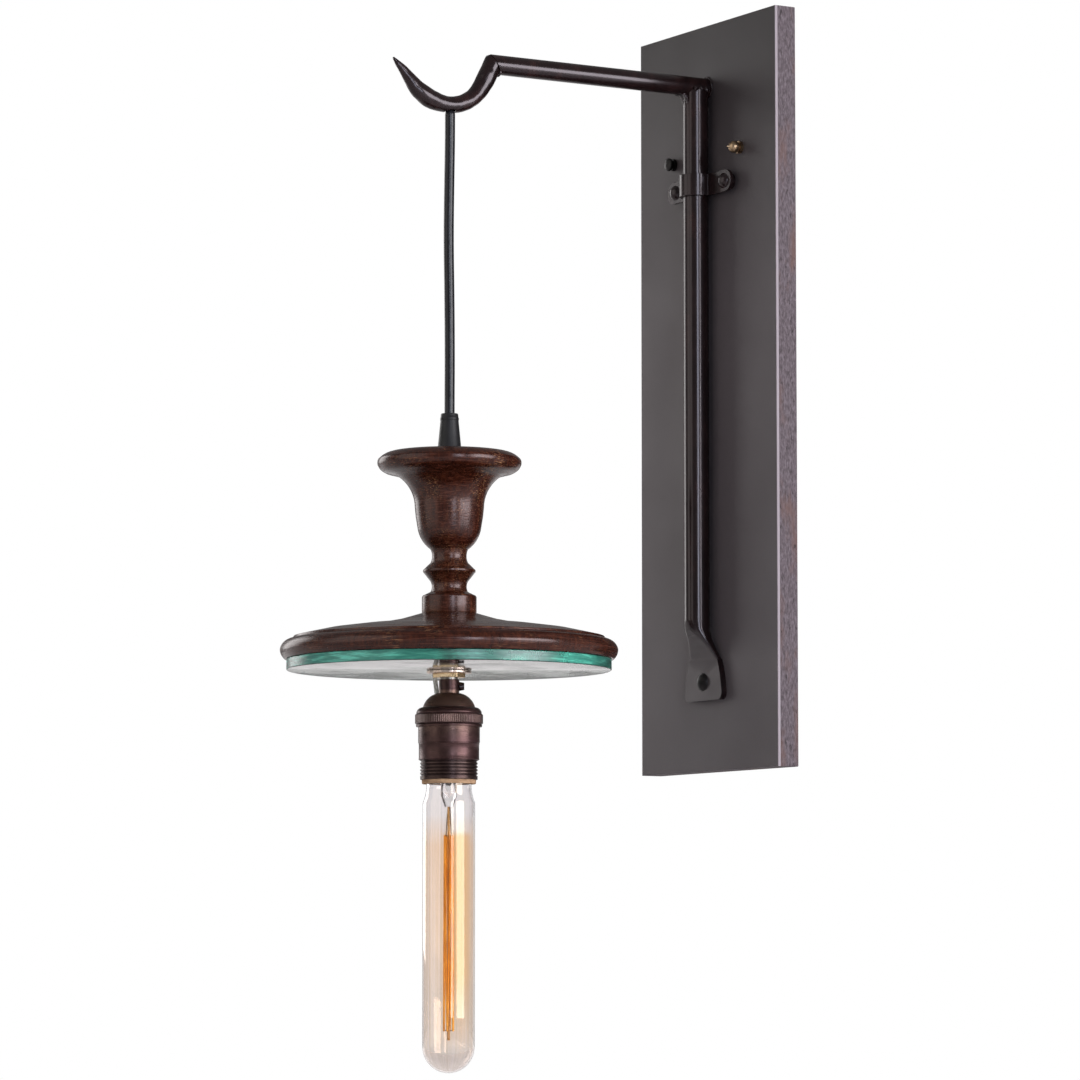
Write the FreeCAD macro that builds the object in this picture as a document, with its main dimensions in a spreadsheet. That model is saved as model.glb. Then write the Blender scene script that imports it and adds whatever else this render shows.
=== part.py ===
import FreeCAD, Part
import math
import os
import Sketcher
from FreeCAD import Placement, Rotation, Vector

# A wall sconce of industrial make. A board faced with sheet steel carries a round bar whose foot
# is forged flat, and an arm that ends in a tapered hook. A cord comes down out of the hook and
# carries a turned wooden spindle, a wooden disc, a glass disc, a lampholder and a tubular lamp.
# Frame: the wall is the plane y = 0, the room is towards -Y, +Z is up, and the origin is the
# centre of the mounting crossbar. All lengths are in millimetres.

# Driving sizes
SIZES = [
    ("Board and sheet",),
    ("board_width", 142.0, "width of the board and of the sheet on it"),
    ("board_height", 426.0, "height of both"),
    ("board_thick", 12.0, "thickness of the board"),
    ("board_edge_round", 1.0, "rounding of the board's rear edges"),
    ("sheet_thick", 1.8, "thickness of the steel sheet"),
    ("top_above_studs", 75.4, "top edge above the fixing studs"),
    ("pocket_radius", 54.0, "round pocket in the back, over the junction box"),
    ("pocket_depth", 9.0, "depth of that pocket"),
    ("Crossbar and its studs",),
    ("crossbar_length", 104.0, "end to end"),
    ("crossbar_height", 16.0, "width of the strip"),
    ("crossbar_thick", 2.0, "thickness of the strip"),
    ("box_screw_spacing", 88.9, "between the slots for the box screws"),
    ("slot_length", 8.0, "each slot, end to end"),
    ("slot_radius", 2.4, "half the width of a slot"),
    ("stud_spacing", 69.85, "between the two studs"),
    ("stud_radius", 2.05, "outside of a stud"),
    ("stud_play", 0.05, "between a stud and a thread"),
    ("stud_reach", 4.2, "stud in front of the sheet"),
    ("ground_screw_offset", 16.0, "ground screw from the crossbar's middle"),
    ("ground_screw_radius", 2.0, "its shank"),
    ("ground_head_radius", 3.6, "its head"),
    ("ground_head_height", 1.8, "its head"),
    ("hole_play", 0.35, "round a screw or stud in a plain hole"),
    ("Cap nuts",),
    ("nut_collar_radius", 3.5, "collar against the sheet"),
    ("nut_collar_height", 1.8, "collar against the sheet"),
    ("nut_neck_radius", 2.6, "neck behind the head"),
    ("nut_neck_end", 3.0, "front of the neck, off the sheet"),
    ("dark_nut_radius", 3.7, "knurled head of the dark nut"),
    ("dark_nut_height", 5.6, "dark nut off the sheet"),
    ("brass_nut_radius", 3.4, "head of the brass nut"),
    ("brass_nut_height", 7.4, "shoulder of the brass nut off the sheet"),
    ("brass_tip_radius", 0.9, "its small pointed tip"),
    ("brass_tip_length", 1.9, "its small pointed tip"),
    ("Support bar",),
    ("bar_radius", 7.2, "round bar"),
    ("bar_gap", 0.3, "bar to sheet"),
    ("foot_start", 266.0, "start of the forging below the studs"),
    ("foot_bend_height", 22.0, "height of the forged bend"),
    ("foot_end", 311.0, "lower end of the foot below the studs"),
    ("foot_thick", 3.6, "thickness of the flat foot"),
    ("foot_top_width", 29.0, "foot at the end of the bend"),
    ("foot_bottom_width", 38.4, "foot at its lower end"),
    ("foot_middle_width", 34.6, "foot part of the way down"),
    ("foot_middle_drop", 8.5, "from the end of the bend to that width"),
    ("foot_corner", 4.0, "rounding of its lower corners"),
    ("foot_screw_up", 10.5, "screw above the lower end"),
    ("foot_screw_radius", 2.2, "shank"),
    ("foot_screw_depth", 9.0, "shank in the board"),
    ("foot_head_radius", 5.1, "domed head"),
    ("foot_head_height", 3.2, "domed head"),
    ("Pipe strap",),
    ("strap_drop", 18.0, "middle of the strap below the studs"),
    ("strap_height", 12.4, "width of the strip"),
    ("strap_thick", 2.0, "thickness of the strip"),
    ("strap_half_length", 33.0, "ear end from the middle"),
    ("strap_screw_offset", 25.5, "screws from the middle"),
    ("strap_play", 0.3, "strap to bar"),
    ("spacer_height", 3.4, "spacer between the sheet and an ear"),
    ("spacer_radius", 4.4, "outside of a spacer"),
    ("strap_screw_radius", 2.0, "shank"),
    ("strap_head_radius", 4.4, "domed head"),
    ("strap_head_height", 2.8, "domed head"),
    ("lock_nut_flats", 7.0, "across the flats of the nut behind"),
    ("lock_nut_height", 2.6, "that nut"),
    ("Arm and hook",),
    ("arm_below_top", 36.0, "arm's middle below the top edge"),
    ("arm_radius", 5.5, "outside of the tube"),
    ("arm_bore", 3.4, "inside of the tube"),
    ("hook_reach", 183.7, "lowest point of the hook from the wall"),
    ("hook_drop", 25.2, "hook's middle line below the arm's"),
    ("limb_angle", 62.0, "slope of the limb that meets the arm, in degrees"),
    ("limb_bend", 25.4, "bend of the limb's middle line"),
    ("beak_angle", 50.0, "turn from the lowest point to the beak, in degrees"),
    ("beak_bend", 30.0, "bend of the beak's middle line"),
    ("beak_length", 17.0, "tapered beak past the bend"),
    ("beak_back_bend", 120.0, "slight bend back towards the tip"),
    ("limb_radius", 5.6, "section where it meets the arm"),
    ("hook_radius", 4.7, "section at the lowest point"),
    ("belly_radius", 5.25, "thickest section, past the lowest point"),
    ("beak_radius", 3.9, "section at the root of the beak"),
    ("tip_radius", 0.35, "point"),
    ("hook_bore", 3.0, "channel for the leads"),
    ("exit_radius", 3.1, "hole that the cord comes out of"),
    ("exit_offset", 1.3, "that hole from the lowest point, towards the wall"),
    ("mitre_round", 4.0, "rounding of the outer corner where the arm meets the limb"),
    ("weld_radius", 1.7, "size of a weld lump"),
    ("weld_web", 5.0, "hollow web of weld under the arm"),
    ("bar_below_arm", 2.6, "top of the bar below the arm's middle"),
    ("bead_radius", 1.0, "bead round the arm at the sheet"),
    ("Leads in the arm",),
    ("lead_radius", 0.85, "insulated lead"),
    ("lead_pitch", 1.8, "between leads side by side"),
    ("lead_bend", 8.5, "bend of the leads at a corner"),
    ("lead_exit_bend", 2.6, "bend of the leads into the cord"),
    ("lead_tail", 22.0, "length left in the pocket"),
    ("Cord",),
    ("cord_radius", 2.8, "round cord"),
    ("cord_play", 0.3, "round end of the cord to what it turns against"),
    ("cord_flex_length", 14.0, "from the first bending point to the second"),
    ("cord_hang", 166.7, "from the first bending point to the strain relief"),
    ("relief_top_radius", 4.75, "strain relief"),
    ("relief_bottom_radius", 6.7, "strain relief"),
    ("relief_height", 21.4, "strain relief"),
    ("relief_bore", 3.0, "strain relief"),
    ("relief_socket_depth", 8.0, "screwed on to the pipe"),
    ("Turned spindle",),
    ("spindle_height", 88.9, "from the top to the wooden disc"),
    ("flange_radius", 39.6, "widest"),
    ("flange_flat", 33.0, "flat of the top"),
    ("flange_lip_radius", 36.5, "lower edge of the rounded rim"),
    ("flange_half", 5.2, "height from the top to the widest line"),
    ("flange_height", 10.6, "height of the rounded rim"),
    ("flange_top_round", 9.0, "rounding of the upper rim"),
    ("flange_lip_round", 6.0, "rounding of the lower rim"),
    ("bell_top_radius", 28.5, "under the flange"),
    ("bell_top_drop", 13.0, "under the flange"),
    ("bell_waist_radius", 19.0, "end of the hollow curve"),
    ("bell_hollow", 21.0, "radius of the hollow curve"),
    ("bell_low_radius", 17.6, "start of the round bottom"),
    ("neck_radius", 10.3, "edges of the two coves"),
    ("neck_top_rise", 35.3, "upper cove's upper edge above the foot"),
    ("neck_low_rise", 27.9, "upper cove's lower edge above the foot"),
    ("neck_cove", 8.5, "radius of the upper cove"),
    ("ring_radius", 14.4, "sharp ring"),
    ("ring_rise", 23.9, "ring's upper edge above the foot"),
    ("ring_edge", 1.1, "height of the ring's edge"),
    ("ring_low_rise", 17.7, "lower cove's upper edge above the foot"),
    ("cove_low_rise", 11.9, "lower cove's lower edge above the foot"),
    ("cove_low_round", 6.0, "radius of the lower cove"),
    ("drum_radius", 15.0, "drum at the foot"),
    ("drum_height", 8.9, "drum at the foot"),
    ("drum_shoulder", 1.3, "drum's shoulder"),
    ("tenon_radius", 9.0, "tenon in the wooden disc"),
    ("tenon_length", 12.0, "tenon in the wooden disc"),
    ("tenon_play", 0.1, "round the tenon"),
    ("Discs",),
    ("disc_radius", 92.6, "wooden disc"),
    ("disc_height", 25.2, "wooden disc at its middle"),
    ("disc_foot_radius", 89.6, "its flat underside"),
    ("rim_height", 10.9, "bullnose rim"),
    ("rim_half", 5.4, "widest line above the underside"),
    ("rim_round", 6.6, "rounding of the rim"),
    ("rim_inner_radius", 86.4, "inner edge of the rim"),
    ("quirk_width", 1.2, "small step inside the rim"),
    ("quirk_height", 1.5, "small step inside the rim"),
    ("cone_mid_radius", 51.0, "where the dished part meets the cone"),
    ("cone_mid_height", 18.4, "where the dished part meets the cone"),
    ("cone_round", 220.0, "swell of the cone"),
    ("dish_round", 130.0, "hollow of the dished part"),
    ("boss_radius", 16.2, "flat under the drum"),
    ("glass_radius", 89.0, "glass disc"),
    ("glass_thick", 6.0, "glass disc"),
    ("glass_edge", 0.5, "ground edge of the glass"),
    ("Pipe and nuts",),
    ("pipe_radius", 4.8, "threaded lamp pipe"),
    ("pipe_bore", 3.4, "threaded lamp pipe"),
    ("pipe_play", 0.25, "round the pipe"),
    ("washer_radius", 12.2, "brass washer"),
    ("washer_thick", 1.7, "brass washer"),
    ("nut_flats", 15.4, "brass nut, across the flats"),
    ("nut_height", 2.2, "brass nut"),
    ("nut_to_hub", 1.1, "pipe that shows below the nut"),
    ("pipe_in_hub", 6.0, "pipe in the lampholder's hub"),
    ("Lampholder",),
    ("hub_radius", 5.6, "hub of the cap"),
    ("hub_height", 7.4, "hub of the cap"),
    ("dome_radius", 14.3, "widest part of the cap"),
    ("dome_height", 7.9, "domed part of the cap"),
    ("dome_round", 10.4, "rounding of the dome"),
    ("shell_wall", 0.8, "sheet brass"),
    ("set_screw_radius", 1.5, "shank"),
    ("set_head_radius", 2.5, "head"),
    ("set_head_length", 2.7, "head, out from the hub"),
    ("collar_radius", 18.0, "collar, upper part"),
    ("collar_band_radius", 18.6, "its knurled band"),
    ("collar_height", 10.6, "collar"),
    ("collar_shoulder", 3.4, "rounded shoulder"),
    ("collar_band_top", 3.8, "knurled band from the top"),
    ("collar_band_end", 9.1, "knurled band from the top"),
    ("shell_radius", 16.9, "upper shell"),
    ("shell_step", 0.4, "lower shell is narrower"),
    ("shell_upper", 9.2, "upper shell below the collar"),
    ("shell_lower", 9.1, "lower shell"),
    ("shell_thread", 10.6, "threaded end"),
    ("thread_radius", 15.7, "outside of the threaded end"),
    ("liner_radius", 14.85, "card liner"),
    ("liner_wall", 0.8, "card liner"),
    ("liner_show", 2.3, "card liner below the shell"),
    ("core_radius", 13.6, "moulded core"),
    ("core_height", 12.9, "moulded core"),
    ("core_drop", 2.0, "core below the collar's top"),
    ("screw_shell_radius", 13.9, "outside of the inner threaded shell"),
    ("screw_shell_wall", 0.4, "inner threaded shell"),
    ("screw_shell_height", 23.0, "inner threaded shell"),
    ("tongue_width", 5.0, "centre contact"),
    ("tongue_thick", 0.8, "centre contact"),
    ("terminal_radius", 2.0, "terminal screws"),
    ("terminal_height", 2.2, "terminal screws"),
    ("terminal_offset", 8.5, "terminal screws from the middle"),
    ("Earth lead",),
    ("earth_radius", 1.3, "clear lead beside the hub"),
    ("earth_top_offset", 9.6, "its upper end from the axis"),
    ("earth_low_offset", 8.0, "its lower end from the axis"),
    ("earth_turn", 207.0, "its place round the axis, in degrees"),
    ("Lamp",),
    ("lamp_radius", 14.3, "glass tube"),
    ("lamp_length", 182.8, "contact to rounded end"),
    ("lamp_wall", 0.8, "glass"),
    ("lamp_neck_radius", 12.3, "glass where it leaves the cap"),
    ("lamp_neck_height", 11.0, "from the cap to the full width"),
    ("cap_radius", 13.1, "threaded cap"),
    ("cap_wall", 0.4, "threaded cap"),
    ("cap_height", 20.6, "threaded cap"),
    ("cap_contact_radius", 4.6, "centre contact"),
    ("cap_contact_height", 1.2, "centre contact"),
    ("cap_insulator_radius", 10.6, "black glass between them"),
    ("cap_insulator_height", 3.4, "black glass between them"),
    ("lamp_seat", 0.3, "contact to tongue"),
    ("stem_radius", 4.4, "glass stem at its top"),
    ("stem_low_radius", 2.3, "glass stem where it is pinched"),
    ("stem_height", 13.1, "glass stem below the cap"),
    ("rod_radius", 0.8, "glass rod"),
    ("rod_end_gap", 17.7, "end of the rod to the end of the lamp"),
    ("lamp_lead_radius", 0.3, "lead wires"),
    ("lamp_lead_length", 15.9, "lead wires below the stem"),
    ("cage_radius", 2.6, "filament cage"),
    ("cage_end_gap", 23.1, "lower end of the cage to the end of the lamp"),
    ("filament_radius", 0.22, "filament"),
    ("hook_wire_radius", 0.2, "wires that hold the filament"),
    ("General",),
    ("overrun", 3.0, "tools cut past the face by this much"),
]

doc = FreeCAD.newDocument("wall_sconce")
sheet = doc.addObject("Spreadsheet::Sheet", "Sizes")


class Size:
    """A length or angle that knows its value and the sheet formula it comes from."""

    def __init__(self, value, formula):
        self.value = float(value)
        self.formula = formula

    def __float__(self):
        return self.value

    def _join(self, other, sign, turned_round=False):
        first, second = (other, self) if turned_round else (self, other)
        a, b = float(first), float(second)
        value = {"+": a + b, "-": a - b, "*": a * b, "/": a / b if sign == "/" else 0}[sign]
        return Size(value, "(%s %s %s)" % (formula_of(first), sign, formula_of(second)))

    def __add__(self, other):
        return self._join(other, "+")

    def __radd__(self, other):
        return self._join(other, "+", True)

    def __sub__(self, other):
        return self._join(other, "-")

    def __rsub__(self, other):
        return self._join(other, "-", True)

    def __mul__(self, other):
        return self._join(other, "*")

    def __rmul__(self, other):
        return self._join(other, "*", True)

    def __truediv__(self, other):
        return self._join(other, "/")

    def __neg__(self):
        return self * -1


def formula_of(size):
    return size.formula if isinstance(size, Size) else repr(float(size))


def root(size):
    return Size(math.sqrt(float(size)), "sqrt(%s)" % size.formula)


class SizeTable:
    """The sheet's cells by name."""


s = SizeTable()
for row, entry in enumerate(SIZES, start=1):
    sheet.set("A%d" % row, entry[0])
    if len(entry) == 3:
        sheet.set("B%d" % row, str(entry[1]))
        sheet.setAlias("B%d" % row, entry[0])
        sheet.set("C%d" % row, entry[2])
doc.recompute()
for entry in SIZES:
    if len(entry) == 3:
        setattr(s, entry[0], Size(sheet.get(entry[0]), "Sizes." + entry[0]))

ZERO = Size(0, "0")
TOWARDS_ROOM = Rotation(Vector(1, 0, 0), 90)
NODES = {}


def number(*sizes):
    return [float(size) for size in sizes]


def place(thing, base, rotation=Rotation()):
    """Gives an object its place, with each coordinate bound to the sheet."""
    thing.Placement = Placement(Vector(*number(*base)), rotation)
    for axis, size in zip("xyz", base):
        thing.setExpression("Placement.Base." + axis, formula_of(size))


def node(name, thing):
    """Names the object that is written out as one sub-part."""
    thing.Label = name
    NODES[name] = thing
    return thing


def origin_plane(body, role):
    return [f for f in body.Origin.OriginFeatures if f.Role == role][0]


def arc_between(start, end, radius, bulge):
    """The short arc from start to end. bulge 1 turns left and -1 turns right."""
    chord = end - start
    middle = (start + end) / 2
    rise = math.sqrt(max(radius ** 2 - (chord.Length / 2) ** 2, 0))
    side = Vector(-chord.y, chord.x, 0).normalize()
    centre = middle + side * rise * bulge
    first, last = (start, end) if bulge > 0 else (end, start)
    angles = [math.atan2(p.y - centre.y, p.x - centre.x) for p in (first, last)]
    circle = Part.Circle(centre, Vector(0, 0, 1), radius)
    return Part.ArcOfCircle(circle, angles[0], angles[1])


HALF_CIRCLE_SHARE = 1.9999


def draw_outline(sketch, corners):
    """Draws a closed outline. A corner is (x, y), or (x, y, radius, bulge) at the end of an arc."""
    points = [Vector(float(c[0]), float(c[1]), 0) for c in corners]
    starts = []
    ends = []
    for i, corner in enumerate(corners):
        start, end = points[i - 1], points[i]
        if len(corner) == 4:
            edge = sketch.addGeometry(arc_between(start, end, float(corner[2]), corner[3]), False)
            if (end - start).Length > float(corner[2]) * HALF_CIRCLE_SHARE:
                level = "Horizontal" if abs(end.y - start.y) < abs(end.x - start.x) else "Vertical"
                sketch.addConstraint(Sketcher.Constraint(level, edge, 3, edge, 1))
            else:
                bound = sketch.addConstraint(Sketcher.Constraint("Radius", edge, float(corner[2])))
                sketch.setExpression("Constraints[%d]" % bound, formula_of(corner[2]))
            starts.append((edge, 1 if corner[3] > 0 else 2))
            ends.append((edge, 2 if corner[3] > 0 else 1))
        else:
            edge = sketch.addGeometry(Part.LineSegment(start, end), False)
            starts.append((edge, 1))
            ends.append((edge, 2))
    for i, corner in enumerate(corners):
        following = starts[(i + 1) % len(corners)]
        sketch.addConstraint(Sketcher.Constraint("Coincident", *ends[i], *following))
        for kind, size in (("DistanceX", corner[0]), ("DistanceY", corner[1])):
            if float(size) == 0:
                axis = -2 if kind == "DistanceX" else -1
                sketch.addConstraint(Sketcher.Constraint("PointOnObject", *ends[i], axis))
                continue
            bound = sketch.addConstraint(Sketcher.Constraint(kind, -1, 1, *ends[i], float(size)))
            sketch.setExpression("Constraints[%d]" % bound, formula_of(size))


def draw_circle(sketch, x, y, radius):
    edge = sketch.addGeometry(
        Part.Circle(Vector(float(x), float(y), 0), Vector(0, 0, 1), float(radius)), False)
    bound = sketch.addConstraint(Sketcher.Constraint("Radius", edge, float(radius)))
    sketch.setExpression("Constraints[%d]" % bound, formula_of(radius))
    for kind, axis, size in (("DistanceX", -2, x), ("DistanceY", -1, y)):
        if float(size) == 0:
            sketch.addConstraint(Sketcher.Constraint("PointOnObject", edge, 3, axis))
            continue
        bound = sketch.addConstraint(Sketcher.Constraint(kind, -1, 1, edge, 3, float(size)))
        sketch.setExpression("Constraints[%d]" % bound, formula_of(size))


def new_body(name):
    return doc.addObject("PartDesign::Body", name + "_body")


def new_sketch(body, name, role, lift=ZERO):
    sketch = body.newObject("Sketcher::SketchObject", name)
    sketch.AttachmentSupport = [(origin_plane(body, role), "")]
    sketch.MapMode = "FlatFace"
    sketch.setExpression("AttachmentOffset.Base.z", formula_of(lift))
    return sketch


def turned(name, corners, base=(ZERO, ZERO, ZERO), rotation=Rotation(), label=True):
    """A piece turned about its own Z axis: the outline is (radius, height) and runs once round."""
    body = new_body(name)
    sketch = new_sketch(body, name + "_outline", "XZ_Plane")
    draw_outline(sketch, corners)
    spin = body.newObject("PartDesign::Revolution", name + "_spin")
    spin.Profile = sketch
    spin.ReferenceAxis = (sketch, ["V_Axis"])
    spin.Angle = 360
    body.Tip = spin
    place(body, base, rotation)
    return node(name, body) if label else body


def padded(name, corners, thick, role="XZ_Plane", base=(ZERO, ZERO, ZERO), circles=(), label=True):
    """A flat piece: an outline with round holes in it, made solid along its plane's normal."""
    body = new_body(name)
    sketch = new_sketch(body, name + "_outline", role)
    draw_outline(sketch, corners)
    for circle in circles:
        draw_circle(sketch, *circle)
    pad = body.newObject("PartDesign::Pad", name + "_pad")
    pad.Profile = sketch
    pad.setExpression("Length", formula_of(thick))
    body.Tip = pad
    place(body, base)
    return node(name, body) if label else body


def cut_round(body, name, circles, depth):
    """Cuts round holes from the y = 0 plane into a piece that lies on its -Y side."""
    doc.recompute()
    before = body.Shape.Volume
    sketch = new_sketch(body, name, "XZ_Plane")
    for circle in circles:
        draw_circle(sketch, *circle)
    pocket = body.newObject("PartDesign::Pocket", name + "_cut")
    pocket.Profile = sketch
    pocket.Reversed = True
    pocket.setExpression("Length", formula_of(depth))
    body.Tip = pocket
    doc.recompute()
    if body.Shape.Volume >= before:
        raise RuntimeError(name + " cuts nothing")


def round_edges(body, name, radius, wanted):
    """Rounds those edges of a body, in its own coordinates, that a test picks."""
    doc.recompute()
    tip = body.Tip
    picked = ["Edge%d" % (i + 1) for i, edge in enumerate(tip.Shape.Edges) if wanted(edge)]
    fillet = body.newObject("PartDesign::Fillet", name)
    fillet.Base = (tip, picked)
    fillet.setExpression("Radius", formula_of(radius))
    body.Tip = fillet
    doc.recompute()


def mirrored_pair(name, piece):
    """Two like pieces, one each side of the middle plane, in one node."""
    twin = doc.addObject("Part::Mirroring", name + "_twin")
    twin.Source = piece
    twin.Normal = (1, 0, 0)
    both = doc.addObject("Part::Compound", name + "_both")
    both.Links = [piece, twin]
    return node(name, both)


def shaped(name, shape):
    """A piece whose form no sketch or primitive fits."""
    thing = doc.addObject("Part::Feature", name + "_shape")
    thing.Shape = shape
    return node(name, thing)


def rectangle(left, right, low, high):
    return [(left, low), (right, low), (right, high), (left, high)]


HEX_CORNER_SHARES = [
    (math.cos(math.radians(60 * i)) / math.cos(math.radians(30)),
     math.sin(math.radians(60 * i)) / math.cos(math.radians(30))) for i in range(6)]


def hexagon(flats):
    return [(flats / 2 * x, flats / 2 * y) for x, y in HEX_CORNER_SHARES]


def stadium(half_length, half_height):
    """A long outline with round ends, centred on the origin."""
    run = half_length - half_height
    return [
        (run, -half_height), (run, half_height, half_height, 1),
        (-run, half_height), (-run, -half_height, half_height, 1)]


def crown(radius, height, top_radius=ZERO):
    """Radius of the ball, centred on the axis, that joins two levels of a turned piece."""
    lift = (height * height + top_radius * top_radius - radius * radius) / (height * 2)
    return root(radius * radius + lift * lift)


def pan_head_screw(name, head_radius, head_height, shank_radius, shank_length):
    """A domed screw that stands on z = 0 with its shank below."""
    return turned(name, [
        (ZERO, -shank_length), (shank_radius, -shank_length), (shank_radius, ZERO),
        (head_radius, ZERO), (ZERO, head_height, crown(head_radius, head_height), 1)], label=False)


def yz(y, z):
    return Vector(0, float(y), float(z))


def swept(spine_edges, radius, name):
    """A round bar or lead along a plane path of lines and tangent arcs."""
    spine = Part.Wire(spine_edges)
    start = spine_edges[0].valueAt(spine_edges[0].FirstParameter)
    along = spine_edges[0].tangentAt(spine_edges[0].FirstParameter)
    ring = Part.Wire(Part.makeCircle(float(radius), start, along))
    solid = spine.makePipeShell([ring], True, False)
    expected = math.pi * float(radius) ** 2 * spine.Length
    if abs(solid.Volume / expected - 1) > 0.02:
        raise RuntimeError("%s sweep is %.3f of its volume" % (name, solid.Volume / expected))
    return solid


def turn_point(before, corner, after, radius):
    """The tangent arc that rounds a corner of a path."""
    into = (corner - before).normalize()
    out = (after - corner).normalize()
    half = into.getAngle(out) / 2
    reach = float(radius) * math.tan(half)
    inner = (out - into).normalize() * (float(radius) / math.cos(half) - float(radius))
    start, middle, end = corner - into * reach, corner + inner, corner + out * reach
    return start, Part.Arc(start, middle, end).toShape(), end


# Board, sheet and crossbar
half_width = s.board_width / 2
plate_low = s.top_above_studs - s.board_height
sheet_front = s.board_thick + s.sheet_thick
half_studs = s.stud_spacing / 2
arm_height = s.top_above_studs - s.arm_below_top
foot_screw_drop = s.foot_end - s.foot_screw_up
stud_hole = s.stud_radius + s.hole_play
strap_hole = s.strap_screw_radius + s.hole_play
wall_holes = [
    (half_studs, ZERO, stud_hole), (-half_studs, ZERO, stud_hole),
    (s.strap_screw_offset, -s.strap_drop, strap_hole),
    (-s.strap_screw_offset, -s.strap_drop, strap_hole),
    (ZERO, arm_height, s.arm_bore)]

board = padded("back_board", rectangle(-half_width, half_width, plate_low, s.top_above_studs),
               s.board_thick)
cut_round(board, "junction_pocket", [(ZERO, ZERO, s.pocket_radius)], s.pocket_depth)
cut_round(board, "through_holes", wall_holes, s.board_thick + s.overrun)
round_edges(board, "back_edge_round", s.board_edge_round, lambda edge: (
    edge.Curve.TypeId == "Part::GeomLine" and min(abs(v.Y) for v in edge.Vertexes) < 1e-6
    and max(abs(v.Y) for v in edge.Vertexes) < 1e-6))
pilot = new_sketch(board, "foot_screw_pilot", "XZ_Plane", s.board_thick)
draw_circle(pilot, ZERO, -foot_screw_drop, s.foot_screw_radius + s.stud_play)
pilot_cut = board.newObject("PartDesign::Pocket", "foot_screw_pilot_cut")
pilot_cut.Profile = pilot
pilot_cut.setExpression("Length", formula_of(s.foot_screw_depth + s.stud_play))
board.Tip = pilot_cut

padded("front_sheet", rectangle(-half_width, half_width, plate_low, s.top_above_studs),
       s.sheet_thick, base=(ZERO, -s.board_thick, ZERO),
       circles=wall_holes + [(ZERO, -foot_screw_drop, s.foot_screw_radius + s.hole_play)])

crossbar = padded("mounting_crossbar", stadium(s.crossbar_length / 2, s.crossbar_height / 2),
                  s.crossbar_thick, circles=[
                      (half_studs, ZERO, s.stud_radius + s.stud_play),
                      (-half_studs, ZERO, s.stud_radius + s.stud_play),
                      (s.ground_screw_offset, ZERO, s.ground_screw_radius + s.stud_play)])
slot_run = s.slot_length / 2 - s.slot_radius
slots = new_sketch(crossbar, "box_screw_slots", "XZ_Plane")
for side_share in (1, -1):
    middle = s.box_screw_spacing / 2 * side_share
    draw_outline(slots, [
        (middle + slot_run, -s.slot_radius), (middle + slot_run, s.slot_radius, s.slot_radius, 1),
        (middle - slot_run, s.slot_radius), (middle - slot_run, -s.slot_radius, s.slot_radius, 1)])
slot_cut = crossbar.newObject("PartDesign::Pocket", "box_screw_slots_cut")
slot_cut.Profile = slots
slot_cut.Reversed = True
slot_cut.setExpression("Length", formula_of(s.crossbar_thick + s.overrun))
crossbar.Tip = slot_cut

stud = turned("one_stud", rectangle(ZERO, s.stud_radius, ZERO, sheet_front + s.stud_reach),
              (half_studs, ZERO, ZERO), TOWARDS_ROOM, label=False)
mirrored_pair("wall_studs", stud)

ground_screw = pan_head_screw("ground_screw", s.ground_head_radius, s.ground_head_height,
                              s.ground_screw_radius, s.crossbar_thick)
place(ground_screw, (s.ground_screw_offset, -s.crossbar_thick, ZERO), TOWARDS_ROOM)
node("ground_screw", ground_screw)

nut_thread = s.stud_radius + s.stud_play
nut_base = [
    (nut_thread, ZERO), (s.nut_collar_radius, ZERO), (s.nut_collar_radius, s.nut_collar_height),
    (s.nut_neck_radius, s.nut_collar_height), (s.nut_neck_radius, s.nut_neck_end)]
nut_blind_end = s.stud_reach + s.stud_play
dark_dome = s.dark_nut_height - nut_blind_end
brass_dome = s.brass_nut_height - nut_blind_end
turned("dark_cap_nut", nut_base + [
    (s.dark_nut_radius, s.nut_neck_end + s.stud_play), (s.dark_nut_radius, nut_blind_end),
    (ZERO, s.dark_nut_height, crown(s.dark_nut_radius, dark_dome), 1),
    (ZERO, nut_blind_end), (nut_thread, nut_blind_end)],
    (-half_studs, -sheet_front, ZERO), TOWARDS_ROOM)
turned("brass_cap_nut", nut_base + [
    (s.brass_nut_radius, s.nut_neck_end + s.stud_play), (s.brass_nut_radius, nut_blind_end),
    (s.brass_tip_radius, s.brass_nut_height,
     crown(s.brass_nut_radius, brass_dome, s.brass_tip_radius), 1),
    (ZERO, s.brass_nut_height + s.brass_tip_length),
    (ZERO, nut_blind_end), (nut_thread, nut_blind_end)],
    (half_studs, -sheet_front, ZERO), TOWARDS_ROOM)

# Support bar with its forged foot
# Each station of the bend is a share of its height and of what the section does along it.
bar_off_sheet = s.bar_gap + s.bar_radius
FOOT_STATION_SHARES = [
    # down, half width, half depth, off the sheet, corner
    (0.0, 0.0, 1.0, 1.0, 0.97),
    (0.23, 0.05, 0.86, 0.97, 0.94),
    (0.46, 0.22, 0.42, 0.70, 0.9),
    (0.69, 0.56, 0.15, 0.40, 0.9),
    (1.0, 1.0, 0.0, 0.0, 0.85),
]


def rounded_section(height, off_sheet, half_w, half_d, corner):
    """A level rounded rectangle with its middle the given distance in front of the sheet."""
    middle = -(float(sheet_front) + off_sheet)
    points = []
    for sx, sy, first in ((1, 1, 0), (-1, 1, 90), (-1, -1, 180), (1, -1, 270)):
        cx, cy = sx * (half_w - corner), middle + sy * (half_d - corner)
        for angle in (first, first + 45, first + 90):
            turn = math.radians(angle)
            points.append(Vector(cx + corner * math.cos(turn), cy + corner * math.sin(turn), height))
    edges = []
    for i in range(0, 12, 3):
        edges.append(Part.Arc(points[i], points[i + 1], points[i + 2]).toShape())
        edges.append(Part.makeLine(points[i + 2], points[(i + 3) % 12]))
    return Part.Wire(edges)


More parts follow.
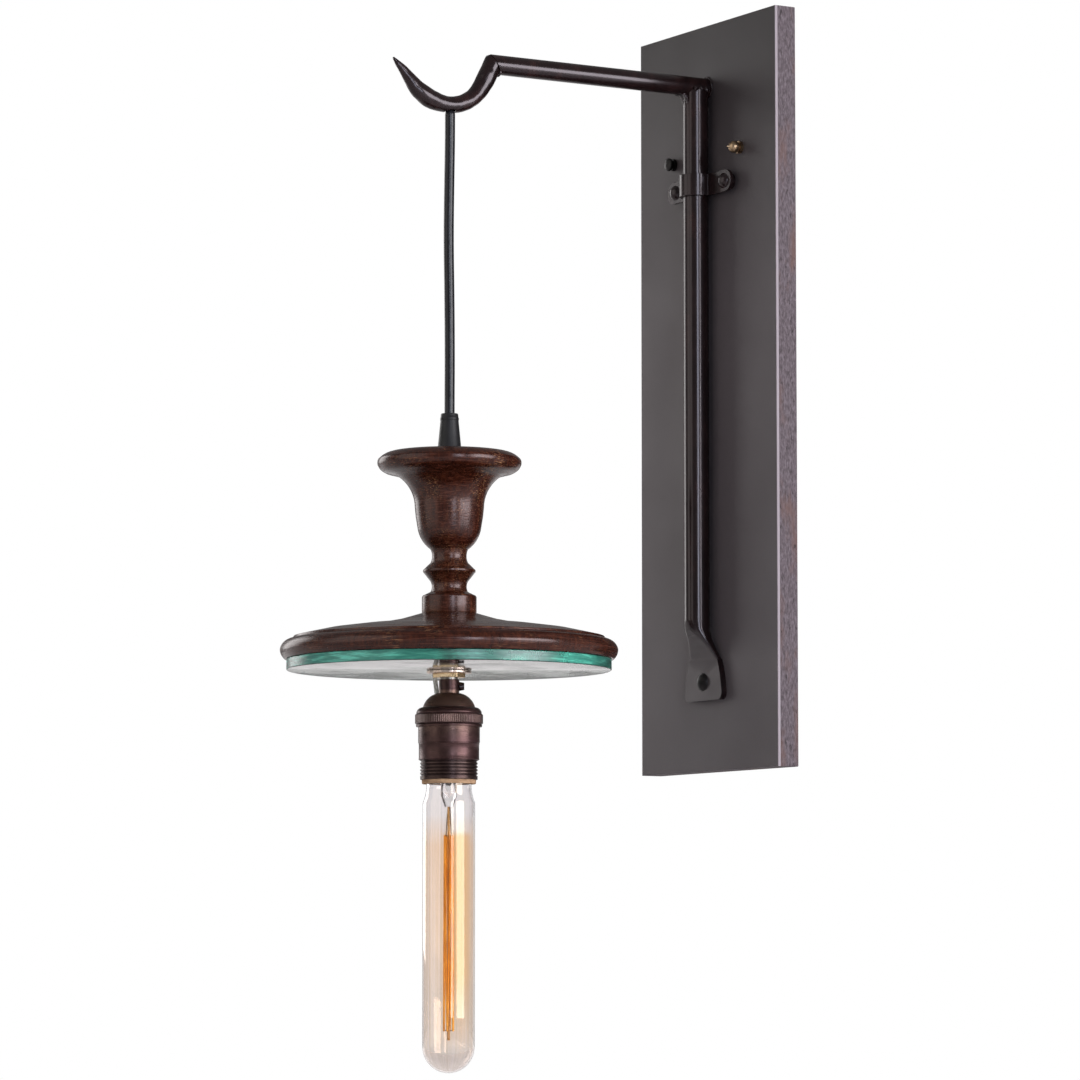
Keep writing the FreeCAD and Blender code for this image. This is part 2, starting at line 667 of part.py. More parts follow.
def forged_bar():
    bar_r, thick, gap = number(s.bar_radius, s.foot_thick, s.bar_gap)
    start, bend, end = number(s.foot_start, s.foot_bend_height, s.foot_end)
    half_top, half_low = number(s.foot_top_width / 2, s.foot_bottom_width / 2)
    sections = []
    for down, wide, deep, off, corner in FOOT_STATION_SHARES:
        half_w = bar_r + (half_top - bar_r) * wide
        half_d = thick / 2 + (bar_r - thick / 2) * deep
        distance = thick / 2 + (gap + bar_r - thick / 2) * off
        sections.append(rounded_section(
            -(start + bend * down), distance, half_w, half_d, min(half_w, half_d) * corner))
    bend_solid = Part.makeLoft(sections, True, True)
    top = float(arm_height)
    axis_y = -(float(sheet_front) + gap + bar_r)
    round_bar = Part.makeCylinder(bar_r, start + top - float(s.bar_below_arm),
                                  Vector(0, axis_y, -start))
    front = -(float(sheet_front) + thick)
    bottom = -end
    half_mid, mid_drop = number(s.foot_middle_width / 2, s.foot_middle_drop)
    left, right = [
        Part.Arc(Vector(side * half_top, front, -(start + bend)),
                 Vector(side * half_mid, front, -(start + bend + mid_drop)),
                 Vector(side * half_low, front, bottom)).toShape() for side in (-1, 1)]
    across_top = Part.makeLine(Vector(-half_top, front, -(start + bend)),
                               Vector(half_top, front, -(start + bend)))
    across_low = Part.makeLine(Vector(-half_low, front, bottom), Vector(half_low, front, bottom))
    outline = Part.Wire(Part.__sortEdges__([across_top, right, across_low, left]))
    tab = Part.Face(outline).extrude(Vector(0, thick, 0))
    low_edges = [
        e for e in tab.Edges
        if abs(e.BoundBox.ZMax - bottom) < 1e-6 and e.BoundBox.YLength > thick / 2]
    tab = tab.makeFillet(float(s.foot_corner), low_edges)
    hole = Part.makeCylinder(float(s.foot_screw_radius + s.hole_play), thick + float(s.overrun),
                             Vector(0, front - float(s.overrun) / 2, -float(foot_screw_drop)),
                             Vector(0, 1, 0))
    arm_reach = float(s.hook_reach)
    arm_space = Part.makeCylinder(float(s.arm_radius), arm_reach,
                                  Vector(0, -arm_reach, top), Vector(0, 1, 0))
    return round_bar.fuse([bend_solid, tab.cut(hole)]).removeSplitter().cut(arm_space)


shaped("support_bar", forged_bar())

foot_screw = pan_head_screw("foot_screw", s.foot_head_radius, s.foot_head_height,
                            s.foot_screw_radius, s.foot_thick + s.sheet_thick + s.foot_screw_depth)
place(foot_screw, (ZERO, -(sheet_front + s.foot_thick), -foot_screw_drop), TOWARDS_ROOM)
node("foot_screw", foot_screw)

# Pipe strap, its spacers, screws and nuts
ear_back = s.spacer_height
ear_front = s.spacer_height + s.strap_thick
strap_inner = s.bar_radius + s.strap_play
strap_outer = strap_inner + s.strap_thick
ear_root = strap_outer
half_strap = s.strap_half_length
strap = padded("pipe_strap", [
    (-half_strap, ear_back), (-strap_inner, ear_back), (-strap_inner, bar_off_sheet),
    (strap_inner, bar_off_sheet, strap_inner, -1), (strap_inner, ear_back),
    (half_strap, ear_back), (half_strap, ear_front), (ear_root, ear_front),
    (strap_outer, bar_off_sheet), (-strap_outer, bar_off_sheet, strap_outer, 1),
    (-ear_root, ear_front), (-half_strap, ear_front)], s.strap_height, "XY_Plane")
place(strap, (ZERO, -sheet_front, -s.strap_drop - s.strap_height / 2),
      Rotation(Vector(0, 0, 1), 180))
round_edges(strap, "ear_round", s.strap_height / 2 - s.strap_play, lambda edge: (
    abs(abs(edge.Vertexes[0].X) - float(half_strap)) < 1e-4
    and abs(abs(edge.Vertexes[-1].X) - float(half_strap)) < 1e-4
    and abs(edge.Vertexes[0].Y - edge.Vertexes[-1].Y) > 1e-4))
ear_holes = new_sketch(strap, "ear_holes", "XZ_Plane")
for side_share in (1, -1):
    draw_circle(ear_holes, s.strap_screw_offset * side_share, s.strap_height / 2, strap_hole)
ear_cut = strap.newObject("PartDesign::Pocket", "ear_holes_cut")
ear_cut.Profile = ear_holes
ear_cut.Type = "ThroughAll"
ear_cut.Midplane = True
strap.Tip = ear_cut

spacer = turned("one_spacer", rectangle(strap_hole, s.spacer_radius, ZERO, s.spacer_height),
                (s.strap_screw_offset, -sheet_front, -s.strap_drop), TOWARDS_ROOM, label=False)
mirrored_pair("strap_spacers", spacer)

strap_screw_shank = ear_front + s.sheet_thick + s.board_thick - s.pocket_depth + s.lock_nut_height
strap_screw = pan_head_screw("one_strap_screw", s.strap_head_radius, s.strap_head_height,
                             s.strap_screw_radius, strap_screw_shank)
place(strap_screw, (s.strap_screw_offset, -(sheet_front + ear_front), -s.strap_drop), TOWARDS_ROOM)
mirrored_pair("strap_screws", strap_screw)

lock_nut = padded("one_lock_nut", hexagon(s.lock_nut_flats), s.lock_nut_height, "XZ_Plane",
                  (s.strap_screw_offset, -(s.pocket_depth - s.lock_nut_height), -s.strap_drop),
                  [(ZERO, ZERO, s.strap_screw_radius + s.stud_play)], label=False)
mirrored_pair("strap_nuts", lock_nut)

# Arm and hook
# The hook's middle line runs down from the arm in a straight limb, round a bend to its lowest
# point, round an easier bend up to the beak, and along the beak with a slight bend back.
limb_turn = math.radians(float(s.limb_angle))
beak_turn = math.radians(float(s.beak_angle))
bend_middle_z = float(arm_height - s.hook_drop + s.limb_bend)
low_y = -float(s.hook_reach)
limb_end = yz(low_y + float(s.limb_bend) * math.sin(limb_turn),
              bend_middle_z - float(s.limb_bend) * math.cos(limb_turn))
limb_way = yz(math.cos(limb_turn), math.sin(limb_turn))
limb_length = (float(arm_height) - limb_end.z) / limb_way.z
mitre_point = limb_end + limb_way * limb_length


def line_or_bend(point, heading, length, curvature):
    """Point and heading after a run of the given length; positive curvature turns upwards."""
    if curvature == 0:
        return point + yz(math.cos(heading), math.sin(heading)) * length, heading
    after = heading + curvature * length
    step = yz(math.sin(after) - math.sin(heading), math.cos(heading) - math.cos(after))
    return point + step * (1 / curvature), after


HOOK_RUNS = [
    (limb_length, 0),
    (float(s.limb_bend) * limb_turn, -1 / float(s.limb_bend)),
    (float(s.beak_bend) * beak_turn, -1 / float(s.beak_bend)),
    (float(s.beak_length), 1 / float(s.beak_back_bend)),
]
HOOK_LENGTH = sum(run for run, curvature in HOOK_RUNS)


def hook_station(distance):
    """Point and heading on the hook's middle line, from the mitre."""
    point, heading = mitre_point, math.pi + limb_turn
    for run, curvature in HOOK_RUNS:
        step = min(run, distance)
        point, heading = line_or_bend(point, heading, step, curvature)
        distance -= step
        if distance <= 0:
            break
    return point, heading


# Sections of the hook: which run they lie on, how far along it, and their radius.
run_starts = [sum(run for run, curvature in HOOK_RUNS[:i]) for i in range(len(HOOK_RUNS))]
HOOK_SECTION_SHARES = [
    (0, 0.0, s.limb_radius), (0, 0.55, s.limb_radius * 0.97), (1, 0.0, s.limb_radius * 0.93),
    (1, 0.33, s.hook_radius * 1.03), (1, 0.66, s.hook_radius), (1, 1.0, s.hook_radius),
    (2, 0.3, s.hook_radius + (s.belly_radius - s.hook_radius) * 0.7), (2, 0.55, s.belly_radius),
    (2, 0.8, s.belly_radius - (s.belly_radius - s.beak_radius) * 0.4), (3, 0.0, s.beak_radius),
    (3, 0.3, s.beak_radius * 0.74), (3, 0.6, s.beak_radius * 0.46),
    (3, 0.85, s.beak_radius * 0.2), (3, 1.0, s.tip_radius),
]


def mitre_half(keep_arm):
    """A block that fills one side of the plane in which the arm and the limb meet."""
    to_wall = Vector(0, 1, 0)
    normal = (to_wall + limb_way).normalize()
    size = float(s.hook_reach)
    block = Part.makeBox(size, size, size, Vector(-size / 2, 0, -size / 2))
    turn = Rotation(Vector(0, 1, 0), normal if keep_arm else normal * -1)
    block.Placement = Placement(mitre_point, turn)
    return block


def ring_at(point, heading, radius):
    return Part.Wire(Part.makeCircle(float(radius), point, yz(math.cos(heading), math.sin(heading))))


def hook_channel():
    """The path of the bore from the arm to the exit, and past both ends."""
    start = mitre_point + limb_way * float(s.overrun)
    past = yz(low_y - float(s.exit_offset), 0)
    turn_past = math.asin(float(s.exit_offset + s.hook_bore) / float(s.limb_bend))
    centre = yz(low_y, bend_middle_z)
    bend = [centre + yz(math.sin(a), -math.cos(a)) * float(s.limb_bend)
            for a in (limb_turn, (limb_turn - turn_past) / 2, -turn_past)]
    return [Part.makeLine(start, bend[0]), Part.Arc(*bend).toShape()]


exit_y = low_y + float(s.exit_offset)


def hook_solid():
    first_point, first_heading = hook_station(0)
    lead_in = ring_at(first_point + limb_way * float(s.limb_radius + s.overrun), first_heading,
                      s.limb_radius)
    rings = [lead_in]
    for run, share, radius in HOOK_SECTION_SHARES:
        point, heading = hook_station(run_starts[run] + HOOK_RUNS[run][0] * share)
        rings.append(ring_at(point, heading, radius))
    body = Part.makeLoft(rings, True, False).cut(mitre_half(True))
    bore = swept(hook_channel(), s.hook_bore, "hook bore")
    hole_top = float(arm_height - s.hook_drop)
    exit_hole = Part.makeCylinder(float(s.exit_radius), float(s.hook_radius + s.overrun),
                                  yz(exit_y, hole_top), Vector(0, 0, -1))
    return body.cut([bore, exit_hole])


def arm_solid():
    reach = float(s.hook_reach)
    rear = yz(-sheet_front, arm_height)
    tube = Part.makeCylinder(float(s.arm_radius), reach, rear, Vector(0, -1, 0))
    bore = Part.makeCylinder(float(s.arm_bore), reach, rear, Vector(0, -1, 0))
    return tube.cut(bore).common(mitre_half(True))




def mitre_corner():
    """What is ground off the outer corner where the arm meets the limb."""
    across = (limb_way - yz(1, 0)).normalize()
    to_wall = yz(1, 0)
    half = across.getAngle(to_wall * -1)
    round_off, tube = number(s.mitre_round, s.arm_radius)
    outer = mitre_point + across * (tube / math.sin(half))
    centre = outer - across * (round_off / math.sin(half))
    reach = round_off / math.tan(half)
    corners = [centre, outer + to_wall * reach, outer + across * round_off,
               outer - limb_way * reach, centre]
    aside = Vector(float(s.hook_drop), 0, 0)
    block = Part.Face(Part.makePolygon([c - aside for c in corners])).extrude(aside * 2)
    pin = Part.makeCylinder(round_off, float(s.hook_reach), centre - aside * 2, Vector(1, 0, 0))
    return block.cut(pin)


arm_tube = arm_solid().cut(mitre_corner())
horn = hook_solid().cut(mitre_corner())
bar_solid = NODES["support_bar"].Shape
shaped("arm_tube", arm_tube)
shaped("horn_hook", horn)


WEB_WIDTH_SHARE = 0.62
LUMP_OUT_SHARE, LUMP_UP_SHARE, LUMP_PITCH_SHARE, SMALL_LUMP_SHARE = 0.23, 0.31, 2.1, 0.8
MITRE_LUMP_TURNS, SIDE_LUMP_TURNS = (-33, 2, 34), (-65, 66)


def weld_lumps():
    """Weld: lumps inside the mitre, a bead round the arm at the sheet, and at the bar a hollow
    web under the arm with a row of lumps along each side."""
    tube, bar_r, bead_r, lump_r = number(s.arm_radius, s.bar_radius, s.bead_radius, s.weld_radius)
    reach = float(s.hook_reach)
    top = float(arm_height)
    bar_y = -float(sheet_front + bar_off_sheet)
    bar_top = top - float(s.bar_below_arm)
    along_arm = Part.makeCylinder(tube, reach, yz(0, arm_height), Vector(0, -1, 0))
    along_limb = Part.makeCylinder(tube, reach, mitre_point - limb_way * tube, limb_way)
    upright = Part.makeCylinder(bar_r, reach, Vector(0, bar_y, bar_top - reach))

    across = (limb_way - yz(1, 0)).normalize()
    lean = math.sqrt(1 - across.dot(limb_way) ** 2)
    lumps = []
    for degrees in MITRE_LUMP_TURNS + SIDE_LUMP_TURNS:
        turn = math.radians(degrees)
        spot = (mitre_point - across * (tube / lean * math.cos(turn))
                + Vector(tube * math.sin(turn), 0, 0))
        lump = Part.makeSphere(lump_r * SMALL_LUMP_SHARE, spot).cut([along_arm, along_limb])
        lumps.append(lump.cut(horn) if degrees in SIDE_LUMP_TURNS else lump)
    for side in (-1, 1):
        for step in (-1, 0, 1):
            spot = Vector(side * (tube + lump_r * LUMP_OUT_SHARE),
                          bar_y + step * lump_r * LUMP_PITCH_SHARE,
                          bar_top + lump_r * LUMP_UP_SHARE)
            lumps.append(Part.makeSphere(lump_r, spot).cut([along_arm, upright]))
    lumps.append(Part.makeTorus(tube + bead_r / 3, bead_r, yz(-sheet_front, top), Vector(0, 1, 0)).cut(
        [along_arm, upright, Part.makeBox(tube * 4, float(sheet_front), tube * 4,
                                          Vector(-tube * 2, -float(sheet_front), top - tube * 2))]))

    web = float(s.weld_web)
    front = bar_y - bar_r
    low = top - tube
    under_arm = yz(front - web, low)
    down_bar = yz(front, low - web)
    hollow = yz(front - web * (1 - math.sqrt(0.5)), low - web * (1 - math.sqrt(0.5)))
    outline = Part.Wire([
        Part.makeLine(yz(bar_y, top), yz(front - web, top)),
        Part.makeLine(yz(front - web, top), under_arm),
        Part.Arc(under_arm, hollow, down_bar).toShape(),
        Part.makeLine(down_bar, yz(bar_y, low - web)),
        Part.makeLine(yz(bar_y, low - web), yz(bar_y, top))])
    half_web = tube * WEB_WIDTH_SHARE
    block = Part.Face(outline).extrude(Vector(half_web * 2, 0, 0))
    block.translate(Vector(-half_web, 0, 0))
    lumps.append(block.cut(along_arm).cut(upright))
    return Part.makeCompound([max(lump.Solids, key=lambda piece: piece.Volume) for lump in lumps])


shaped("weld_beads", weld_lumps())

# Leads in the arm: three side by side, from the pocket to the cord in the hook
tail_y = -float(s.pocket_depth) / 2
tail_top = float(arm_height)


def lead_path():
    tail_end = yz(tail_y, tail_top - float(s.lead_bend) - float(s.lead_tail) * 0.6)
    rear = yz(tail_y, tail_top)
    start_1, arc_1, end_1 = turn_point(tail_end, rear, mitre_point, s.lead_bend)
    start_2, arc_2, end_2 = turn_point(rear, mitre_point, limb_end, s.lead_bend)
    turn = math.asin(float(s.exit_offset + s.lead_exit_bend)
                     / float(s.limb_bend + s.lead_exit_bend))
    centre = yz(low_y, bend_middle_z)
    bend = [centre + yz(math.sin(a), -math.cos(a)) * float(s.limb_bend)
            for a in (limb_turn, (limb_turn + turn) / 2, turn)]
    small = float(s.lead_exit_bend)
    small_centre = bend[2] + (bend[2] - centre).normalize() * small
    half = (math.pi / 2 + turn) / 2
    last = small_centre + yz(-small, 0)
    mid_angle = (math.pi / 2 + turn + math.pi) / 2
    middle = small_centre + yz(math.cos(mid_angle), math.sin(mid_angle)) * small
    return [
        Part.makeLine(tail_end, start_1), arc_1, Part.makeLine(end_1, start_2), arc_2,
        Part.makeLine(end_2, limb_end), Part.Arc(*bend).toShape(),
        Part.Arc(bend[2], middle, last).toShape()], last


lead_edges, lead_last = lead_path()
exit_slant = s.exit_offset + s.lead_exit_bend
exit_sweep = s.limb_bend + s.lead_exit_bend
lead_end = arm_height - s.hook_drop + s.limb_bend - root(
    exit_sweep * exit_sweep - exit_slant * exit_slant)
leads = []
for side_share in (-1, 0, 1):
    shift = Vector(float(s.lead_pitch) * side_share, 0, 0)
    leads.append(swept([e.translated(shift) for e in lead_edges], s.lead_radius, "lead"))
shaped("arm_leads", Part.makeCompound(leads))

# Cord: a short stretch that bends at the hook and a long one that hangs from it
pivot_z = lead_end - s.cord_radius - s.cord_play
flex_low = pivot_z - s.cord_flex_length
pendant_top = pivot_z - s.cord_hang


plumb_y = -(s.hook_reach - s.exit_offset)


def cord_stretch(name, top_centre, bottom):
    """A straight stretch of cord with a round upper end that turns about its centre."""
    run = top_centre - bottom
    return turned(name, [
        (ZERO, ZERO), (s.cord_radius, ZERO), (s.cord_radius, run),
        (ZERO, run + s.cord_radius, s.cord_radius, 1)], (ZERO, plumb_y, bottom))


cord_stretch("cord_flex", pivot_z, flex_low + s.cord_radius + s.cord_play)
cord_stretch("cord_drop", flex_low, pendant_top)

# Pendant: everything below hangs on the plumb line of the exit hole
def hung(name, corners, top, label=True):
    """A turned pendant piece. Heights in its outline run down from its own top as negatives."""
    return turned(name, corners, (ZERO, plumb_y, top), label=label)


spindle_top = pendant_top - s.relief_height
hung("strain_relief", [
    (s.relief_bore, ZERO), (s.relief_top_radius, ZERO), (s.relief_bottom_radius, -s.relief_height),
    (s.pipe_radius + s.stud_play, -s.relief_height),
    (s.pipe_radius + s.stud_play, -(s.relief_height - s.relief_socket_depth)),
    (s.relief_bore, -(s.relief_height - s.relief_socket_depth))], pendant_top)

pipe_hole = s.pipe_radius + s.pipe_play
foot = s.spindle_height
BELL_WAIST_SHARE, BELL_LOW_SHARE = 0.43103448, 0.68965517
bell_run = foot - s.neck_top_rise - s.bell_top_drop
bell_waist_drop = s.bell_top_drop + bell_run * BELL_WAIST_SHARE
bell_low_drop = s.bell_top_drop + bell_run * BELL_LOW_SHARE
hung("spindle", [
    (pipe_hole, ZERO), (s.flange_flat, ZERO),
    (s.flange_radius, -s.flange_half, s.flange_top_round, -1),
    (s.flange_lip_radius, -s.flange_height, s.flange_lip_round, -1),
    (s.bell_top_radius, -s.bell_top_drop),
    (s.bell_waist_radius, -bell_waist_drop, s.bell_hollow, 1),
    (s.bell_low_radius, -bell_low_drop),
    (s.neck_radius, s.neck_top_rise - foot,
     crown(s.bell_low_radius, foot - s.neck_top_rise - bell_low_drop, s.neck_radius), -1),
    (s.neck_radius, s.neck_low_rise - foot, s.neck_cove, 1),
    (s.ring_radius, s.ring_rise - foot), (s.ring_radius, s.ring_rise - s.ring_edge - foot),
    (s.neck_radius, s.ring_low_rise - foot),
    (s.neck_radius, s.cove_low_rise - foot, s.cove_low_round, 1),
    (s.drum_radius - s.drum_shoulder, s.drum_height + s.drum_shoulder - foot),
    (s.drum_radius, s.drum_height - foot, s.drum_shoulder * 1.2, -1),
    (s.drum_radius, -foot), (s.tenon_radius, -foot),
    (s.tenon_radius, -(foot + s.tenon_length)), (pipe_hole, -(foot + s.tenon_length))], spindle_top)

disc_top = spindle_top - s.spindle_height
up = s.disc_height
tenon_hole = s.tenon_radius + s.tenon_play
tenon_floor = s.tenon_length + s.tenon_play
hung("base_disc", [
    (tenon_hole, ZERO), (s.boss_radius, ZERO),
    (s.cone_mid_radius, s.cone_mid_height - up, s.dish_round, 1),
    (s.rim_inner_radius - s.quirk_width, s.rim_height + s.quirk_height - up, s.cone_round, -1),
    (s.rim_inner_radius, s.rim_height - up),
    (s.disc_radius, s.rim_half - up, s.rim_round, -1),
    (s.disc_foot_radius, -up, s.rim_round, -1),
    (pipe_hole, -up), (pipe_hole, -tenon_floor), (tenon_hole, -tenon_floor)], disc_top)

glass_top = disc_top - s.disc_height
hung("glass_disc", [
    (pipe_hole, ZERO), (s.glass_radius - s.glass_edge, ZERO), (s.glass_radius, -s.glass_edge),
    (s.glass_radius, -(s.glass_thick - s.glass_edge)),
    (s.glass_radius - s.glass_edge, -s.glass_thick), (pipe_hole, -s.glass_thick)], glass_top)

washer_top = glass_top - s.glass_thick
hung("brass_washer", rectangle(s.pipe_radius + s.stud_play, s.washer_radius, -s.washer_thick, ZERO),
     washer_top)
nut_top = washer_top - s.washer_thick
hex_nut = padded("brass_hex_nut", hexagon(s.nut_flats), s.nut_height, "XY_Plane",
                 (ZERO, plumb_y, nut_top - s.nut_height),
                 [(ZERO, ZERO, s.pipe_radius + s.stud_play)])

hub_top = nut_top - s.nut_height - s.nut_to_hub
pipe_high = pendant_top - s.relief_height + s.relief_socket_depth - s.stud_play
pipe_length = pipe_high - hub_top + s.pipe_in_hub
hung("lamp_pipe", rectangle(s.pipe_bore, s.pipe_radius, -pipe_length, ZERO), pipe_high)

# Lampholder
hub_bore = s.pipe_radius + s.stud_play
hub_floor = s.pipe_in_hub + s.stud_play
wall = s.shell_wall
cap_low = s.hub_height + s.dome_height
hung("socket_cap", [
    (hub_bore, ZERO), (s.hub_radius, ZERO), (s.hub_radius, -s.hub_height),
    (s.dome_radius, -cap_low, s.dome_round, -1), (s.dome_radius - wall, -cap_low),
    (s.hub_radius, -(s.hub_height + wall), s.dome_round - wall, 1),
    (s.pipe_bore, -(s.hub_height + wall)), (s.pipe_bore, -hub_floor), (hub_bore, -hub_floor)],
    hub_top)
socket_cap = NODES["socket_cap"]
cut_round(socket_cap, "set_screw_hole", [
    (ZERO, -s.hub_height / 2, s.set_screw_radius + s.stud_play)], s.hub_radius + s.overrun)
place(socket_cap, (ZERO, plumb_y, hub_top), Rotation(Vector(0, 0, 1), 150))

collar_top = hub_top - cap_low
collar_floor = -s.collar_height
hung("socket_collar", [
    (s.dome_radius - wall * 1.5, ZERO), (s.dome_radius + wall * 0.4, ZERO),
    (s.collar_radius, -s.collar_shoulder, s.collar_shoulder * 1.15, -1),
    (s.collar_radius, -s.collar_band_top), (s.collar_band_radius, -s.collar_band_top),
    (s.collar_band_radius, -s.collar_band_end), (s.collar_radius, -s.collar_band_end),
    (s.collar_radius, collar_floor), (s.shell_radius, collar_floor),
    (s.shell_radius, -s.collar_band_top), (s.dome_radius - wall * 1.5, -s.collar_shoulder / 2)],
    collar_top)

shell_top = collar_top - s.collar_band_top
upper_end = s.collar_height - s.collar_band_top + s.shell_upper
lower_end = upper_end + s.shell_lower
thread_end = lower_end + s.shell_thread
inner = s.liner_radius + s.stud_play
hung("socket_shell", [
    (inner, ZERO), (s.shell_radius - s.stud_play, ZERO), (s.shell_radius - s.stud_play, -upper_end),
    (s.shell_radius - s.shell_step, -(upper_end + s.shell_step)),
    (s.shell_radius - s.shell_step, -lower_end), (s.thread_radius, -(lower_end + s.shell_step)),
    (s.thread_radius, -thread_end), (inner, -thread_end)], shell_top)

core_top = collar_top - s.core_drop
core_low = core_top - s.core_height
hung("socket_core", [
    (s.relief_bore, ZERO), (s.core_radius - wall, ZERO), (s.core_radius, -wall),
    (s.core_radius, -s.core_height), (s.relief_bore, -s.core_height)], core_top)

shell_low = shell_top - thread_end
liner_top = core_low
liner_low = shell_low - s.liner_show
liner_height = liner_top - liner_low
hung("cardboard_liner", rectangle(s.liner_radius - s.liner_wall, s.liner_radius,
                                  -liner_height, ZERO), liner_top)

hung("screw_shell", rectangle(s.screw_shell_radius - s.screw_shell_wall, s.screw_shell_radius,
                              -s.screw_shell_height, ZERO), core_low)


half_tongue = s.tongue_width / 2
padded("centre_contact", rectangle(-half_tongue, s.terminal_offset, -half_tongue, half_tongue),
       s.tongue_thick, "XY_Plane", (ZERO, plumb_y, core_low - s.tongue_thick))

terminal = turned("one_terminal", rectangle(ZERO, s.terminal_radius, ZERO, s.terminal_height),
                  (s.terminal_offset, plumb_y, core_top), label=False)
mirrored_pair("terminal_screws", terminal)

set_screw = turned("set_screw", [
    (ZERO, ZERO), (s.set_screw_radius, ZERO), (s.set_screw_radius, s.hub_radius - hub_bore),
    (s.set_head_radius, s.hub_radius - hub_bore),
    (s.set_head_radius * 0.8, s.hub_radius - hub_bore + s.set_head_length),
    (ZERO, s.hub_radius - hub_bore + s.set_head_length)], label=False)


SET_SCREW_SIDE_SHARES = (0.5, math.sqrt(3) / 2)
side_x, side_y = SET_SCREW_SIDE_SHARES
place(set_screw, (hub_bore * side_x, plumb_y + hub_bore * side_y, hub_top - s.hub_height / 2),
      Rotation(Vector(0, 0, 1), Vector(side_x, side_y, 0)))
node("set_screw", set_screw)

# Cord inside the pendant, from the strain relief to the lampholder
inner_cord_low = collar_top + s.dome_height / 2
inner_cord_length = pendant_top - inner_cord_low
hung("inner_cord", rectangle(ZERO, s.cord_radius, -inner_cord_length, ZERO), pendant_top)


def inner_leads():
    """Two leads from the end of the cord to the terminal screws."""
    solids = []
    radius = float(s.lead_radius)
    for side in (1, -1):
        start = Vector(side * (radius + float(s.stud_play)), float(plumb_y), float(inner_cord_low))
        low = float(core_top + s.terminal_height) + radius
        end = Vector(side * float(s.terminal_offset), float(plumb_y),
                     float(core_top + s.terminal_height))
        bend = Vector(end.x, end.y, low + radius)
        corner = Vector(start.x, start.y, (start.z + low) / 2)
        begin, arc, out = turn_point(start, corner, bend, s.lead_exit_bend / 3)
        last_start, last_arc, last_out = turn_point(corner, bend, end, s.lead_exit_bend / 4)
        edges = [Part.makeLine(start, begin), arc, Part.makeLine(out, last_start), last_arc,
                 Part.makeLine(last_out, end)]
        solids.append(swept(edges, radius, "inner lead"))
    return Part.makeCompound(solids)


shaped("inner_leads", inner_leads())


def earth_lead():
    """A clear lead from under the washer, beside the nut, down to the dome."""
    turn = math.radians(float(s.earth_turn))
    side = Vector(math.cos(turn), math.sin(turn), 0)
    axis = Vector(0, float(plumb_y), 0)
    top = axis + side * float(s.earth_top_offset) + Vector(0, 0, float(nut_top))
    low = axis + side * float(s.earth_low_offset) + Vector(0, 0, float(hub_top - s.hub_height))
    way = (low - top).normalize()
    bar = Part.makeCylinder(float(s.earth_radius), (low - top).Length + float(s.overrun * 2),
                            top - way * float(s.overrun), way)
    above = Part.makeCylinder(float(s.dome_radius), float(s.overrun * 3),
                              axis + Vector(0, 0, float(nut_top)))
    pieces = bar.cut([socket_cap.Shape, above]).Solids
    return max(pieces, key=lambda piece: piece.BoundBox.ZMax)


shaped("earth_lead", earth_lead())

# Lamp
contact_top = core_low - s.tongue_thick - s.lamp_seat
lamp_low = contact_top - s.lamp_length
cap_top = contact_top - s.cap_contact_height - s.cap_insulator_height
hung("lamp_contact", rectangle(ZERO, s.cap_contact_radius, -s.cap_contact_height, ZERO), contact_top)
hung("lamp_insulator", [
    (ZERO, ZERO), (s.cap_contact_radius, ZERO), (s.cap_insulator_radius, -s.cap_insulator_height),
    (ZERO, -s.cap_insulator_height)], contact_top - s.cap_contact_height)
cap_inner = s.cap_radius - s.cap_wall
hung("lamp_cap", [
    (ZERO, ZERO), (s.cap_insulator_radius, ZERO), (s.cap_radius, -s.cap_insulator_height),
    (s.cap_radius, -s.cap_height), (cap_inner, -s.cap_height),
    (cap_inner, -s.cap_insulator_height), (s.cap_insulator_radius - s.cap_wall, -s.cap_wall),
    (ZERO, -s.cap_wall)], cap_top)

cap_low_z = cap_top - s.cap_height
neck_tuck = s.cap_height * 0.35
tube_bottom = cap_low_z - lamp_low
straight_end = tube_bottom - s.lamp_radius
tuck_radius = cap_inner - s.pipe_play
hung("lamp_glass", [
    (tuck_radius - s.lamp_wall, neck_tuck), (tuck_radius, neck_tuck),
    (tuck_radius, s.lamp_wall), (s.lamp_neck_radius, ZERO),
    (s.lamp_radius, -s.lamp_neck_height, s.lamp_neck_height * 2.2, 1),
    (s.lamp_radius, -straight_end), (ZERO, -tube_bottom, s.lamp_radius, -1),
    (ZERO, s.lamp_wall - tube_bottom),
    (s.lamp_radius - s.lamp_wall, -straight_end, s.lamp_radius - s.lamp_wall, 1),
    (s.lamp_radius - s.lamp_wall, -s.lamp_neck_height),
    (s.lamp_neck_radius - s.lamp_wall, ZERO, s.lamp_neck_height * 2.2, -1),
    (tuck_radius - s.lamp_wall, s.lamp_wall)], cap_low_z)

stem_top = cap_low_z + neck_tuck
stem_low = cap_low_z - s.stem_height
stem_length = neck_tuck + s.stem_height
hung("glass_stem", [
    (s.stem_low_radius, ZERO), (tuck_radius - s.lamp_wall - s.stud_play, ZERO),
    (s.stem_radius, -neck_tuck, s.cap_height, 1), (s.stem_radius, -(stem_length * 0.7)),
    (s.stem_low_radius, -stem_length), (ZERO, -stem_length), (ZERO, -(stem_length * 0.75)),
    (s.stem_low_radius, -(stem_length * 0.6))], stem_top)

rod_length = stem_low - lamp_low - s.rod_end_gap
hung("glass_rod", rectangle(ZERO, s.rod_radius, -rod_length, ZERO), stem_low)

axis_y = float(plumb_y)
stem_end = float(stem_low)
cage_top = stem_end - float(s.lamp_lead_length)
cage_low = float(lamp_low + s.cage_end_gap)
LEG_COUNT = 8


